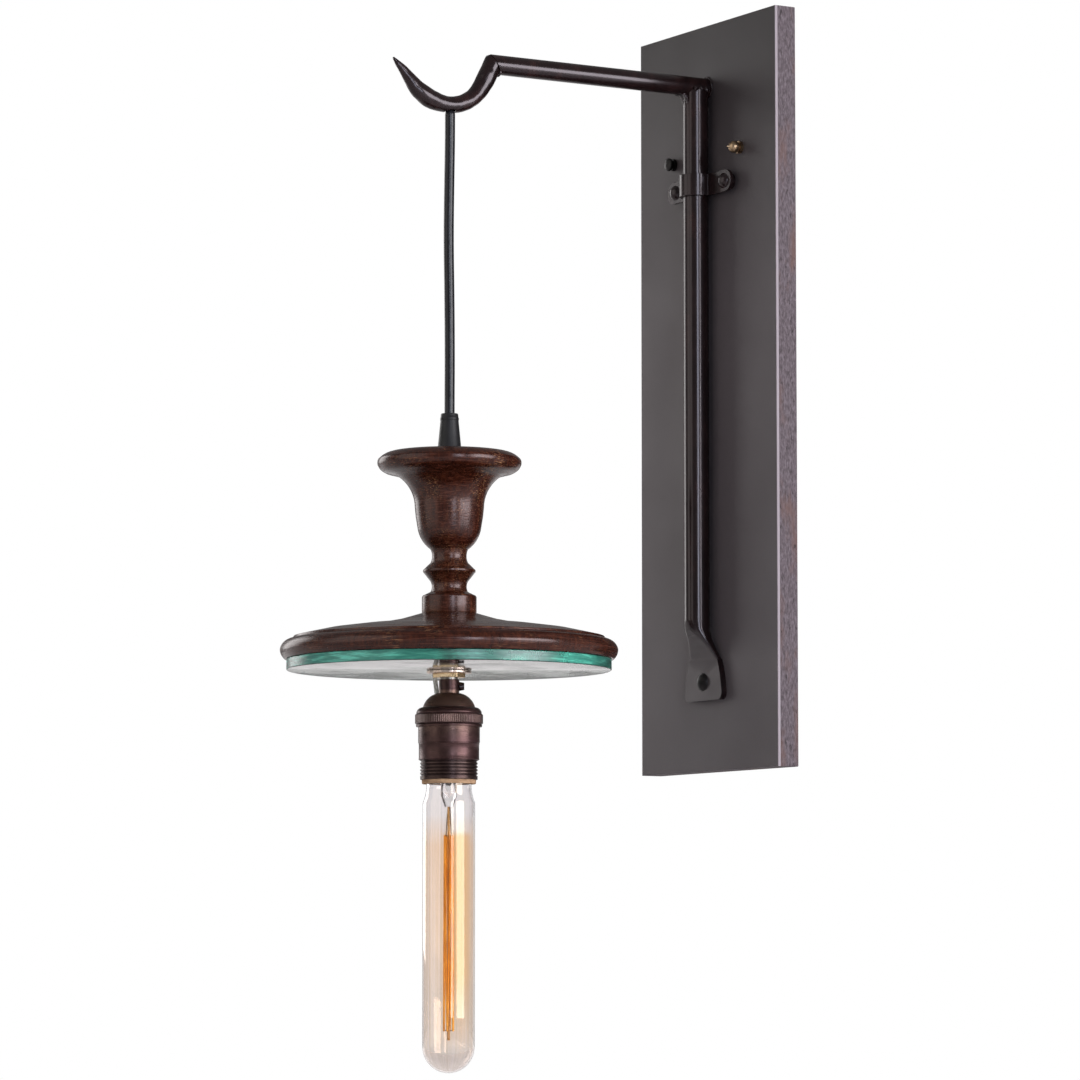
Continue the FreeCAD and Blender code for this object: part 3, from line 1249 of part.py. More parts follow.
def cage_point(i):
    """Corner i of the zigzag round the rod: even ones at the top, odd ones at the bottom."""
    turn = 2 * math.pi * i / LEG_COUNT
    height = cage_low if i % 2 else cage_top
    radius = float(s.cage_radius)
    return Vector(radius * math.cos(turn), axis_y + radius * math.sin(turn), height)


def wire_between(start, end, radius):
    return Part.makeCylinder(float(radius), (end - start).Length, start, end - start)


def filament():
    """Eight straight legs up and down round the rod, joined at small round turns."""
    pieces = []
    for i in range(LEG_COUNT):
        pieces.append(wire_between(cage_point(i), cage_point(i + 1), s.filament_radius))
        pieces.append(Part.makeSphere(float(s.filament_radius) * 1.05, cage_point(i)))
    return pieces[0].fuse(pieces[1:])


shaped("filament", filament())

lead_wires = []
for i in (0, LEG_COUNT // 2):
    spread = cage_point(i)
    out = Vector(spread.x, spread.y - axis_y, 0).normalize()
    foot_point = spread + out * float(s.filament_radius * 1.05 + s.lamp_lead_radius)
    head_point = Vector(out.x * float(s.rod_radius), axis_y + out.y * float(s.rod_radius), stem_end)
    head_point = head_point + out * float(s.lamp_lead_radius + s.stud_play)
    lead_wires.append(wire_between(foot_point, head_point, s.lamp_lead_radius))
stem_block = Part.makeBox(float(s.board_width), float(s.board_width), float(s.stem_height),
                          Vector(-float(half_width), axis_y - float(half_width), stem_end))
shaped("lead_wires", Part.makeCompound([wire.cut(stem_block) for wire in lead_wires]))


def support_hooks():
    """Fine wires from the rod out to the turns of the filament."""
    wires = []
    rod = float(s.rod_radius)
    for i in list(range(1, LEG_COUNT, 2)) + [2, 6]:
        end = cage_point(i)
        out = Vector(end.x, end.y - axis_y, 0).normalize()
        start = Vector(0, axis_y, end.z) + out * rod
        stop = end - out * float(s.filament_radius * 1.1)
        wires.append(wire_between(start, stop, s.hook_wire_radius))
    return Part.makeCompound(wires)


shaped("support_hooks", support_hooks())

# Checks and output
doc.recompute()
if abs(lead_last.z - float(lead_end)) > 1e-6:
    raise RuntimeError("the leads and the cord do not meet")
print("cord: pivot at y %.2f z %.2f, second at z %.2f, lower end z %.2f, length %.1f" % tuple(
    number(exit_y, pivot_z, flex_low, pendant_top, pivot_z - pendant_top)))
print("lead arcs: %.1f at corners, %.1f in the hook, %.1f at the exit; lead length %.1f" % (
    float(s.lead_bend), float(s.limb_bend), float(s.lead_exit_bend),
    sum(edge.Length for edge in lead_edges)))
print("lamp: contact z %.2f, end z %.2f" % tuple(number(contact_top, lamp_low)))

failed = [o.Label for o in doc.Objects if "Invalid" in o.State or "Error" in o.State]
if failed:
    raise RuntimeError("failed objects: " + ", ".join(failed))
os.makedirs("parts", exist_ok=True)
for name, piece in NODES.items():
    shape = piece.Shape
    if shape.isNull() or not shape.isValid() or not shape.Solids:
        raise RuntimeError("bad shape: " + name)
    shape.exportStep("parts/%s.step" % name)
print(len(NODES), "sub-parts written")
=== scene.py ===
"""Looks of a wall sconce: a steel-faced board, a bar with a hooked arm and a wooden pendant."""
import math

import bpy
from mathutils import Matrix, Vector


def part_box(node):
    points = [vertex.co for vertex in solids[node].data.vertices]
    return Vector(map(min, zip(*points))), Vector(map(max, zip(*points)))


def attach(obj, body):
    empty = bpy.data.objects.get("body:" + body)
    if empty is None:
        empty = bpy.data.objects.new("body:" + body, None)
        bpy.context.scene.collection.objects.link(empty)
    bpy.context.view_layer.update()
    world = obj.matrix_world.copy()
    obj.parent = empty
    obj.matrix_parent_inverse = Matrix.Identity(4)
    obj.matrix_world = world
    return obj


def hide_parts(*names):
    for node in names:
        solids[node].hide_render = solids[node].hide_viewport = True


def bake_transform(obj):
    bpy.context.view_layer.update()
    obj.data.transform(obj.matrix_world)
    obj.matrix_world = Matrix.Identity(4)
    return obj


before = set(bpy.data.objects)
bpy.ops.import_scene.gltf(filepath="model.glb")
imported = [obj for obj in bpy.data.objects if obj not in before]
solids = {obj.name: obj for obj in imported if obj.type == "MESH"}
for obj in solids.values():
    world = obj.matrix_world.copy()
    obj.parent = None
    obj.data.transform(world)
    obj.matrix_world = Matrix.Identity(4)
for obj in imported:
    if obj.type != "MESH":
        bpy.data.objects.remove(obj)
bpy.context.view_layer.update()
scene = bpy.context.scene
bpy.ops.object.select_all(action="DESELECT")
MM = 0.001

# Camera: it stands in the room, well to the right of the sconce and about level with the lamp,
# and looks up a little through a long lens, as the photograph was taken.
CAMERA_PLACE = (2.3281, -1.5103, -0.4748)
CAMERA_TURN = math.radians(59.237)
CAMERA_RISE = math.radians(5.269)
LENS_LENGTH = 163.48
SENSOR_WIDTH = 36.0


def towards(turn, rise):
    """The direction at that turn from straight out of the wall, and at that rise."""
    return Vector((math.sin(turn) * math.cos(rise), -math.cos(turn) * math.cos(rise),
                   math.sin(rise)))


lens_data = bpy.data.cameras.new("long_lens")
lens_data.sensor_width = SENSOR_WIDTH
lens_data.lens = LENS_LENGTH
camera = bpy.data.objects.new("camera", lens_data)
camera.location = CAMERA_PLACE
camera_look = -towards(CAMERA_TURN, -CAMERA_RISE)
camera.rotation_euler = camera_look.to_track_quat("-Z", "Y").to_euler()
scene.collection.objects.link(camera)
scene.camera = camera

# Cord: black round flex, 5.6 mm thick. It comes out of the hook's underside, hangs in an almost
# straight line with the slight bow that it took on the reel, and ends in the strain relief. Its
# upper end, hidden in the hook, is domed.
CORD_RADIUS = 2.8 * MM
DOME_TURN = math.radians(15)
DOME_RINGS = 5
cord_route = [
    (0.0, -0.1824, 0.00877), (0.0, -0.1824, -0.005), (-0.0002, -0.1827, -0.029),
    (-0.0004, -0.1830, -0.061), (-0.0001, -0.1825, -0.095), (0.0, -0.1823, -0.128),
    (0.0, -0.1824, -0.146), (0.0, -0.1824, -0.15793)]
cord_top = Vector(cord_route[0])


def cord_curve(name, thickness):
    """A curve through the flex's route, of that thickness."""
    data = bpy.data.curves.new(name, "CURVE")
    data.dimensions = "3D"
    data.resolution_u = 16
    data.bevel_depth = thickness
    data.bevel_resolution = 7
    data.use_fill_caps = thickness > 0
    line = data.splines.new("NURBS")
    line.points.add(len(cord_route) - 1)
    for point, place in zip(line.points, cord_route):
        point.co = (*place, 1.0)
    line.order_u = 3
    line.use_endpoint_u = True
    made = bpy.data.objects.new(name, data)
    scene.collection.objects.link(made)
    return made


def only(piece):
    """Selects this piece alone and makes it the active one."""
    if bpy.context.mode != "OBJECT":
        bpy.ops.object.mode_set(mode="OBJECT")
    bpy.ops.object.select_all(action="DESELECT")
    piece.select_set(True)
    bpy.context.view_layer.objects.active = piece


def pick(piece, wanted, kind="VERT"):
    """Goes into edit mode with just those vertices or faces selected that the test wants."""
    only(piece)
    bpy.ops.object.mode_set(mode="EDIT")
    bpy.ops.mesh.select_mode(type=kind)
    bpy.ops.mesh.select_all(action="DESELECT")
    bpy.ops.object.mode_set(mode="OBJECT")
    for part in (piece.data.vertices if kind == "VERT" else piece.data.polygons):
        part.select = wanted(part)
    bpy.ops.object.mode_set(mode="EDIT")


def done():
    """Leaves edit mode."""
    bpy.ops.object.mode_set(mode="OBJECT")


plain_line = cord_curve("cord_line", 0.0)
line_mesh = bpy.data.meshes.new_from_object(plain_line)
bpy.data.objects.remove(plain_line)
hanging_cord = cord_curve("hanging_cord", CORD_RADIUS)
only(hanging_cord)
bpy.ops.object.convert(target="MESH")
hanging_cord = bpy.context.active_object
pick(hanging_cord, lambda face: face.normal.z > 0.9 and face.center.z > cord_top.z - MM, "FACE")
ring = 1.0
for step in range(1, DOME_RINGS + 1):
    width = math.cos(DOME_TURN * step)
    rise = CORD_RADIUS * (math.sin(DOME_TURN * step) - math.sin(DOME_TURN * (step - 1)))
    bpy.ops.mesh.extrude_region_move(TRANSFORM_OT_translate={"value": (0, 0, rise)})
    bpy.ops.transform.resize(value=(width / ring, width / ring, 1.0), center_override=cord_top)
    ring = width
done()
bpy.ops.object.shade_smooth_by_angle(angle=math.radians(50))


def feed(sockets, values):
    """Gives inputs, by name or number, a value each or the output of another node."""
    for socket, value in values.items():
        if isinstance(value, bpy.types.NodeSocket):
            value.id_data.links.new(value, sockets[socket])
        else:
            sockets[socket].default_value = value


def put(tree, kind, values=None, **settings):
    """Adds a node with these settings, and feeds its inputs."""
    made = tree.nodes.new(kind)
    for setting, value in settings.items():
        setattr(made, setting, value)
    feed(made.inputs, values or {})
    return made


def new_finish(name, values):
    """A material with these values on its one surface shader, with its nodes and inputs."""
    made = bpy.data.materials.new(name)
    made.use_nodes = True
    shader_in = made.node_tree.nodes["Principled BSDF"].inputs
    feed(shader_in, values)
    return made, made.node_tree, shader_in


def places(tree, centre=(0, 0, 0), stretch=(1, 1, 1)):
    """Where a point of the surface is, from a centre, and stretched for a pattern."""
    where = put(tree, "ShaderNodeTexCoord").outputs["Object"]
    shift = [-c * s for c, s in zip(centre, stretch)]
    return put(tree, "ShaderNodeMapping", {
        "Vector": where, "Location": shift, "Scale": stretch}).outputs["Vector"]


def cloud(tree, vector, scale, detail=4.0, roughness=0.55):
    """Soft noise from 0 to 1."""
    return put(tree, "ShaderNodeTexNoise", {
        "Vector": vector, "Scale": scale, "Detail": detail, "Roughness": roughness}).outputs["Fac"]


def steps(tree, value, *stops):
    """A colour ramp with stops of (place, colour or grey)."""
    made = put(tree, "ShaderNodeValToRGB", {"Fac": value})
    marks = made.color_ramp.elements
    while len(marks) < len(stops):
        marks.new(0.5)
    for mark, (spot, colour) in zip(marks, stops):
        mark.position = spot
        mark.color = (*(colour if isinstance(colour, tuple) else [colour] * 3), 1.0)
    return made.outputs["Color"]


def relief(tree, height, strength, distance):
    """A bumped normal."""
    return put(tree, "ShaderNodeBump", {
        "Height": height, "Strength": strength, "Distance": distance}).outputs["Normal"]


def fit(piece, finish, body, slot, *stands_for):
    """Gives a new piece its finish, its body and the solids it shows. The slot is not used."""
    piece.data.materials.clear()
    piece.data.materials.append(finish)
    if stands_for:
        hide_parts(*stands_for)
    if body:
        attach(piece, body)


black_flex, flex_tree, flex_in = new_finish("black_flex", {
    "Roughness": 0.24, "Specular IOR Level": 0.3})
flex_where = places(flex_tree, stretch=(1, 1, 0.25))
feed(flex_in, {
    "Base Color": steps(flex_tree, cloud(flex_tree, flex_where, 260.0),
                        (0.3, (0.005, 0.005, 0.0065)), (0.75, (0.013, 0.013, 0.016))),
    "Normal": relief(flex_tree, cloud(flex_tree, flex_where, 900.0), 0.25, 0.3 * MM)})
fit(hanging_cord, black_flex, None, "black_cord", "cord_flex", "cord_drop")
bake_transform(hanging_cord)

# Crossbar, ground screw and the two studs: plated steel strip and wire, punched and tapped, hidden
# in the round pocket behind the board. Three insulated leads come through from the arm.
def new_group(name, inputs, outputs):
    """A group of nodes with named inputs and outputs."""
    made = bpy.data.node_groups.new(name, "ShaderNodeTree")
    for label, kind, value in inputs:
        socket = made.interface.new_socket(label, in_out="INPUT", socket_type=kind)
        if value is not None:
            socket.default_value = value
    for label in outputs:
        made.interface.new_socket(label, in_out="OUTPUT", socket_type="NodeSocketFloat")
    return made, made.nodes.new("NodeGroupInput").outputs, made.nodes.new("NodeGroupOutput").inputs


mottling, mottle_in, mottle_out = new_group("mottling", [
    ("Vector", "NodeSocketVector", None), ("Patch Scale", "NodeSocketFloat", 30.0),
    ("Grit Scale", "NodeSocketFloat", 600.0)], ["Patches", "Grit"])
for mottle_name, mottle_scale in (("Patches", "Patch Scale"), ("Grit", "Grit Scale")):
    feed(mottle_out, {mottle_name: cloud(
        mottling, mottle_in["Vector"], mottle_in[mottle_scale], 6.0, 0.6)})


def mottled(tree, vector, patch_scale, grit_scale):
    """Broad patches and fine grit, each from 0 to 1."""
    made = put(tree, "ShaderNodeGroup", {
        "Vector": vector, "Patch Scale": patch_scale, "Grit Scale": grit_scale},
        node_tree=mottling)
    return made.outputs["Patches"], made.outputs["Grit"]


def mottled_finish(name, values, scales, dark, light, roughness, stops=(0.3, 0.7)):
    """A finish with patches from a dark tone to a light one, and with grit in its roughness."""
    made, tree, shader_in = new_finish(name, values)
    patches, grit = mottled(tree, places(tree), *scales)
    feed(shader_in, {
        "Base Color": steps(tree, patches, *zip(stops, (dark, light))),
        "Roughness": steps(tree, grit, *zip((0.3, 0.7), roughness))})
    return made


def clouded_finish(name, values, scale, dark, light, stretch=(1, 1, 1), stops=(0.3, 0.7),
                   coloured=("Base Color",)):
    """A finish that runs from a dark tone to a light one in soft clouds."""
    made, tree, shader_in = new_finish(name, values)
    clouds = cloud(tree, places(tree, stretch=stretch), scale)
    feed(shader_in, dict.fromkeys(coloured, steps(tree, clouds, *zip(stops, (dark, light)))))
    return made


def finish_solid(finish, *names):
    """Gives solids that are shown as they are their finish."""
    for name in names:
        solids[name].data.materials.clear()
        solids[name].data.materials.append(finish)


plated = mottled_finish("plated_steel", {"Metallic": 1.0}, (120.0, 1500.0),
                        (0.20, 0.19, 0.17), (0.36, 0.345, 0.32), (0.25, 0.45))
finish_solid(plated, "mounting_crossbar", "ground_screw", "wall_studs", "strap_nuts", "lamp_pipe")
lead_cover = clouded_finish("lead_cover", {"Roughness": 0.45}, 500.0,
                            (0.02, 0.02, 0.021), (0.05, 0.05, 0.05))
finish_solid(lead_cover, "arm_leads", "inner_leads", "inner_cord")

# Board: 12 mm stained board behind the steel, sealed with a purple-grey wash that has gone patchy,
# with open pits and red-brown wood showing through in places.
def blend_of(tree, share, first, second):
    """Two colours mixed by a share."""
    first, second = [(*colour, 1.0) if isinstance(colour, tuple) else colour
                     for colour in (first, second)]
    return put(tree, "ShaderNodeMix", {0: share, 6: first, 7: second},
               data_type="RGBA").outputs[2]


def sum_of(tree, kind, first, second=0.0, clamp=False):
    """One step of arithmetic. Some kinds take only the first value."""
    return put(tree, "ShaderNodeMath", {0: first, 1: second},
               operation=kind, use_clamp=clamp).outputs[0]


board_stain, board_tree, board_in = new_finish("stained_board", {
    "Roughness": 0.6, "Specular IOR Level": 0.25})
board_where = places(board_tree, stretch=(1, 1, 0.35))
board_patches, board_grit = mottled(board_tree, board_where, 60.0, 900.0)
board_wash = steps(board_tree, board_grit, (0.28, (0.030, 0.021, 0.023)),
                   (0.5, (0.098, 0.074, 0.083)), (0.75, (0.170, 0.138, 0.154)))
board_worn = steps(board_tree, board_patches, (0.52, 0.0), (0.66, 0.7))
board_colour = blend_of(board_tree, board_worn, board_wash, (0.125, 0.065, 0.052))
board_pits = steps(board_tree, cloud(board_tree, board_where, 420.0, 3.0, 0.7),
                   (0.30, 0.85), (0.38, 0.0))
feed(board_in, {
    "Base Color": blend_of(board_tree, board_pits, board_colour, (0.018, 0.013, 0.013)),
    "Normal": relief(board_tree, sum_of(board_tree, "SUBTRACT", board_grit, board_pits),
                     0.5, 0.6 * MM)})


def smooth_copy(node, name, angle, soften=0.0):
    """A merged copy of a solid, shaded smooth across edges up to an angle in degrees, and with
    its sharper edges rounded if asked."""
    piece = solids[node].copy()
    piece.data = solids[node].data.copy()
    piece.name = name
    for label in list(piece.keys()):
        del piece[label]
    piece.parent = None
    scene.collection.objects.link(piece)
    pick(piece, lambda vertex: True)
    bpy.ops.mesh.customdata_custom_splitnormals_clear()
    bpy.ops.mesh.select_all(action="SELECT")
    bpy.ops.mesh.remove_doubles(threshold=0.002 * MM)
    done()
    if soften:
        pick(piece, lambda vertex: True)
        bpy.ops.mesh.dissolve_limited(angle_limit=math.radians(1.0))
        done()
        rounding = piece.modifiers.new("soft_edges", "BEVEL")
        rounding.width = soften
        rounding.segments = 3
        rounding.limit_method = "ANGLE"
        rounding.angle_limit = math.radians(angle)
        bpy.ops.object.modifier_apply(modifier="soft_edges")
    bpy.ops.object.shade_smooth_by_angle(angle=math.radians(angle))
    if soften:
        flatness = piece.modifiers.new("flat_faces", "WEIGHTED_NORMAL")
        flatness.keep_sharp = True
        flatness.weight = 100
        bpy.ops.object.modifier_apply(modifier="flat_faces")
    return piece


def show_solid(node, name, finish, body, slot, angle, soften=0.0):
    """Shows a solid as a smooth copy of it, with that finish."""
    fit(smooth_copy(node, name, angle, soften), finish, body, slot, node)


SHEARED = 0.3 * MM
show_solid("back_board", "board", board_stain, "wall_part", "board_face", 40.0, SHEARED)

# Face of the wall plate: 1.8 mm sheet steel, chemically blackened and waxed to a satin, warm
# near-black with faint clouds. It is painted darker towards the top as painted shade, and a painted
# highlight runs along its side edge.
def parts_of(tree, vector):
    """The X, Y and Z of a vector."""
    return put(tree, "ShaderNodeSeparateXYZ", {"Vector": vector}).outputs


def between(tree, value, start, end, low=0.0, high=1.0):
    """Runs from low to high while a value goes from start to end."""
    return put(tree, "ShaderNodeMapRange", {
        "Value": value, "From Min": start, "From Max": end, "To Min": low, "To Max": high,
    }).outputs["Result"]


SHADE_HEIGHT = 75 * MM
sheet_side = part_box("front_sheet")[1].x
satin_black, satin_tree, satin_in = new_finish("blackened_sheet", {"Specular IOR Level": 0.3})
satin_where = places(satin_tree)
satin_parts = parts_of(satin_tree, satin_where)
satin_patches, satin_grit = mottled(satin_tree, satin_where, 14.0, 1400.0)
# Painted shade: the sheet's colour darkens towards the top.
painted_top_shade = between(satin_tree, satin_parts["Z"], SHADE_HEIGHT, -SHADE_HEIGHT)
satin_base = blend_of(satin_tree, painted_top_shade, (0.015, 0.010, 0.011), (0.082, 0.068, 0.074))
satin_cloud = steps(satin_tree, satin_patches, (0.3, 0.0), (0.75, 0.12))
satin_lift = blend_of(satin_tree, satin_cloud, satin_base, (0.11, 0.10, 0.10))
satin_speck = steps(satin_tree, satin_grit, (0.2, 0.35), (0.4, 0.0))
satin_dark = blend_of(satin_tree, satin_speck, satin_lift, (0.012, 0.011, 0.011))
# Painted highlight: a pale band along the sheet's side edge.
painted_edge_highlight = between(satin_tree, sum_of(satin_tree, "ABSOLUTE", satin_parts["X"]),
                     sheet_side - 0.5 * MM, sheet_side - 0.1 * MM)
feed(satin_in, {
    "Base Color": blend_of(satin_tree, painted_edge_highlight, satin_dark, (0.30, 0.255, 0.275)),
    "Roughness": steps(satin_tree, satin_patches, (0.3, 0.44), (0.7, 0.58)),
    "Normal": relief(satin_tree, satin_grit, 0.12, 0.4 * MM)})
show_solid("front_sheet", "face_sheet", satin_black, "wall_part", "blackened_steel", 40.0, SHEARED)

# Bar, arm and hook: mild steel rod and tube, forged and bent hot, welded where they meet, then
# blackened and oiled. The forged faces are slightly uneven. The foot's front face is painted paler,
# as painted light.
def finish_like(finish, name):
    """A copy of a finish, with its nodes, its inputs and the colour that it had."""
    made = finish.copy()
    made.name = name
    shader_in = made.node_tree.nodes["Principled BSDF"].inputs
    return made, made.node_tree, shader_in, shader_in["Base Color"].links[0].from_socket


forged_black, forged_tree, forged_in = new_finish("forged_steel", {
    "Specular IOR Level": 0.45, "Specular Tint": (1.0, 0.91, 0.95, 1.0)})
forged_patches, forged_grit = mottled(forged_tree, places(forged_tree), 55.0, 900.0)
forged_base = steps(forged_tree, forged_patches, (0.3, (0.0060, 0.0028, 0.0029)),
                    (0.55, (0.0105, 0.0048, 0.0050)), (0.8, (0.018, 0.0085, 0.0082)))
forged_rust = steps(forged_tree, cloud(forged_tree, places(forged_tree, stretch=(1, 1, 0.4)),
                                       90.0, 5.0, 0.65), (0.52, 0.0), (0.72, 0.55))
forged_skin = sum_of(forged_tree, "ADD", forged_patches,
                     sum_of(forged_tree, "MULTIPLY", forged_grit, 0.12))
feed(forged_in, {
    "Base Color": blend_of(forged_tree, forged_rust, forged_base, (0.040, 0.016, 0.014)),
    "Roughness": steps(forged_tree, forged_patches, (0.25, 0.15), (0.75, 0.25)),
    "Normal": relief(forged_tree, forged_skin, 0.07, 0.5 * MM)})

# Painted light: the foot's front-facing face is painted paler, by height and by which way it faces.
LIT_FACE_FROM = 44 * MM
LIT_FACE_WHOLLY = 33 * MM
foot_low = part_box("support_bar")[0].z
foot_light_finish, foot_light_tree, foot_light_in, forged_colour = finish_like(forged_black, "foot_painted_light")
lit_face_height = between(foot_light_tree, parts_of(foot_light_tree, places(foot_light_tree))["Z"],
                       foot_low + LIT_FACE_FROM, foot_low + LIT_FACE_WHOLLY)
lit_face_facing = parts_of(foot_light_tree, put(foot_light_tree, "ShaderNodeTexCoord").outputs["Normal"])["Y"]
painted_light_face = sum_of(foot_light_tree, "MULTIPLY", lit_face_height,
                    between(foot_light_tree, lit_face_facing, -0.45, -0.75))
feed(foot_light_in, {"Base Color": blend_of(foot_light_tree, painted_light_face, forged_colour, (0.052, 0.044, 0.046))})
show_solid("support_bar", "upright_bar", foot_light_finish, "wall_part", "blackened_steel", 30.0)
show_solid("arm_tube", "arm", forged_black, "wall_part", "blackened_steel", 30.0)


def worked(piece, grain, depth, spread, rounds=6):
    """Evens out a piece's mesh and then dents it a little, as hammer and file do."""
    only(piece)
    fresh = piece.modifiers.new("even", "REMESH")
    fresh.mode = "VOXEL"
    fresh.voxel_size = grain
    bpy.ops.object.modifier_apply(modifier="even")
    calm = piece.modifiers.new("calm", "SMOOTH")
    calm.factor = 0.5
    calm.iterations = rounds
    bpy.ops.object.modifier_apply(modifier="calm")
    dents = bpy.data.textures.new(piece.name + "_dents", "CLOUDS")
    dents.noise_scale = spread
    dents.noise_depth = 1
    press = piece.modifiers.new("press", "DISPLACE")
    press.texture = dents
    press.texture_coords = "LOCAL"
    press.strength = depth
    press.mid_level = 0.6
    bpy.ops.object.modifier_apply(modifier="press")
    bpy.ops.object.shade_smooth()


TIP_LENGTH = 2.2 * MM
TIP_SWELL = 0.6 * MM
TIP_FADE = 13 * MM
hook = smooth_copy("horn_hook", "hook", 30.0)
worked(hook, grain=0.45 * MM, depth=0.7 * MM, spread=7.0 * MM)
tip_reach = min(vertex.co.y for vertex in hook.data.vertices)
pick(hook, lambda vertex: vertex.co.y < tip_reach + TIP_LENGTH)
bpy.ops.transform.shrink_fatten(value=TIP_SWELL, use_proportional_edit=True,
                                proportional_edit_falloff="SMOOTH", proportional_size=TIP_FADE)
done()
fit(hook, forged_black, "wall_part", "blackened_steel", "horn_hook")
welds = smooth_copy("weld_beads", "welds", 30.0)
worked(welds, grain=0.35 * MM, depth=1.0 * MM, spread=1.8 * MM, rounds=4)
fit(welds, forged_black, "wall_part", "blackened_steel", "weld_beads")

# Strap round the bar: 1.5 mm strip bent over it, on two turned spacers, with a domed screw
# through each ear and a nut behind. Same blackened finish. The screw of the foot is duller.
FINE_EDGE = 0.2 * MM
show_solid("pipe_strap", "strap", forged_black, "wall_part", "blackened_steel", 40.0, FINE_EDGE)
show_solid("strap_spacers", "spacers", forged_black, "wall_part", "blackened_steel", 40.0)
show_solid("strap_screws", "strap_screw_heads", forged_black, "wall_part", "blackened_steel", 40.0)
dull_black = clouded_finish("dull_black", {"Roughness": 0.42, "Specular IOR Level": 0.2}, 400.0,
                            (0.0020, 0.0016, 0.0016), (0.008, 0.006, 0.006))
show_solid("foot_screw", "foot_screw_head", dull_black, "wall_part", "blackened_steel", 40.0)

# Cap nuts on the studs: turned nuts with a collar, a neck and a head. The left one is bronzed
# nearly black, and the right one is plain brass with a small pointed end.
brass = mottled_finish("dull_brass", {"Metallic": 1.0}, (160.0, 1200.0),
                       (0.20, 0.125, 0.070), (0.50, 0.355, 0.225), (0.25, 0.42))
show_solid("brass_cap_nut", "brass_nut", brass, "wall_part", "brass", 30.0)
dark_bronze = mottled_finish("black_bronze", {"Metallic": 0.6}, (200.0, 1500.0),
                             (0.007, 0.006, 0.006), (0.028, 0.025, 0.025), (0.3, 0.5),
                             stops=(0.3, 0.75))
show_solid("dark_cap_nut", "dark_nut", dark_bronze, "wall_part", "bronzed_nut", 30.0)

# Strain relief: a moulded black cone that screws on to the lamp pipe and grips the flex. From
# here on, the heights, radii and outlines of the pendant's pieces are in millimetres.
PLUMB = Vector((0.0, -0.1824, 0.0))
LEAST_RADIUS = 1e-7
PIPE_THREAD = 4.85
RELIEF_TOP = -157.93
RELIEF_HEIGHT = 21.4


def outline_points(outline, fineness=7.0):
    """An outline of (radius, height) in millimetres. A corner with a bend radius and a side,
    1 to the left and -1 to the right, is reached along an arc."""
    points = [Vector((outline[0][0], outline[0][1]))]
    for corner in outline[1:]:
        start, end = points[-1].copy(), Vector(corner[:2])
        if len(corner) == 4:
            half = (end - start).length / 2
            across = Vector((start.y - end.y, end.x - start.x)).normalized() * corner[3]
            middle = (start + end) / 2 + across * math.sqrt(max(corner[2] ** 2 - half ** 2, 0))
            sweep = 2 * math.asin(min(1.0, half / corner[2])) * corner[3]
            count = max(2, math.ceil(abs(math.degrees(sweep)) / fineness))
            spoke = start - middle
            for i in range(1, count):
                turn = sweep * i / count
                points.append(middle + Vector((
                    spoke.x * math.cos(turn) - spoke.y * math.sin(turn),
                    spoke.x * math.sin(turn) + spoke.y * math.cos(turn))))
        points.append(end)
    return points


def turned(name, outline, top, sides=128, angle=30.0):
    """Turns an outline about the plumb line, ring by ring, below a height in millimetres. The
    outline starts off the axis, and is closed unless it ends on the axis."""
    points = outline_points(outline)
    first = before = points[0]
    closed = points[-1].x > LEAST_RADIUS
    bpy.ops.object.select_all(action="DESELECT")
    bpy.ops.mesh.primitive_circle_add(
        vertices=sides, radius=first.x * MM, fill_type="NOTHING",
        location=PLUMB + Vector((0, 0, (top + first.y) * MM)))
    piece = bpy.context.active_object
    piece.name = name
    bpy.ops.object.transform_apply(location=True, rotation=True, scale=True)
    bpy.ops.object.mode_set(mode="EDIT")
    bpy.ops.mesh.select_all(action="SELECT")
    for point in points[1:] + ([first] if closed else []):
        bpy.ops.mesh.extrude_region_move(
            TRANSFORM_OT_translate={"value": (0, 0, (point.y - before.y) * MM)})
        width = max(point.x, LEAST_RADIUS) / before.x
        if abs(width - 1) > 1e-9:
            bpy.ops.transform.resize(value=(width, width, 1), center_override=PLUMB)
        before = Vector((max(point.x, LEAST_RADIUS), point.y))
    bpy.ops.mesh.select_all(action="SELECT")
    bpy.ops.mesh.remove_doubles(threshold=0.001 * MM)
    bpy.ops.mesh.select_all(action="SELECT")
    bpy.ops.mesh.normals_make_consistent(inside=False)
    done()
    bpy.ops.object.shade_smooth_by_angle(angle=math.radians(angle))
    return piece


relief_cone = turned("strain_relief_cone", [
    (3.0, 0.0), (4.3, 0.0), (4.75, -0.5, 0.5, -1), (4.95, -2.2), (5.15, -2.5), (5.15, -3.6),
    (5.0, -3.9), (6.55, -19.9), (6.7, -20.4), (6.7, -RELIEF_HEIGHT), (PIPE_THREAD, -RELIEF_HEIGHT),
    (PIPE_THREAD, -13.3), (3.0, -13.3)], RELIEF_TOP, sides=64)
black_moulding, moulding_tree, moulding_in = new_finish("black_moulding", {
    "Specular IOR Level": 0.22})
moulding_patches, moulding_grit = mottled(moulding_tree, places(moulding_tree), 90.0, 1800.0)
feed(moulding_in, {
    "Base Color": steps(moulding_tree, moulding_patches, (0.3, (0.010, 0.010, 0.011)),
                        (0.7, (0.022, 0.021, 0.022))),
    "Roughness": steps(moulding_tree, moulding_grit, (0.3, 0.32), (0.7, 0.5)),
    "Normal": relief(moulding_tree, moulding_grit, 0.15, 0.2 * MM)})
fit(relief_cone, black_moulding, "pendant", "black_rubber", "strain_relief")

# Spindle: turned hardwood, an old furniture part with a rolled top, a bell, two coves with a
# sharp ring between them and a drum at the foot. Dark red-brown finish, rubbed thin on the edges.
BORE = 5.05
PEG_RADIUS = 9.0
PEG_LENGTH = 12.0
SPINDLE_TOP = RELIEF_TOP - RELIEF_HEIGHT
SPINDLE_HEIGHT = 88.9


def turn_of(tree, parts):
    """The angle round the upright axis."""
    return sum_of(tree, "ARCTAN2", parts["Y"], parts["X"])


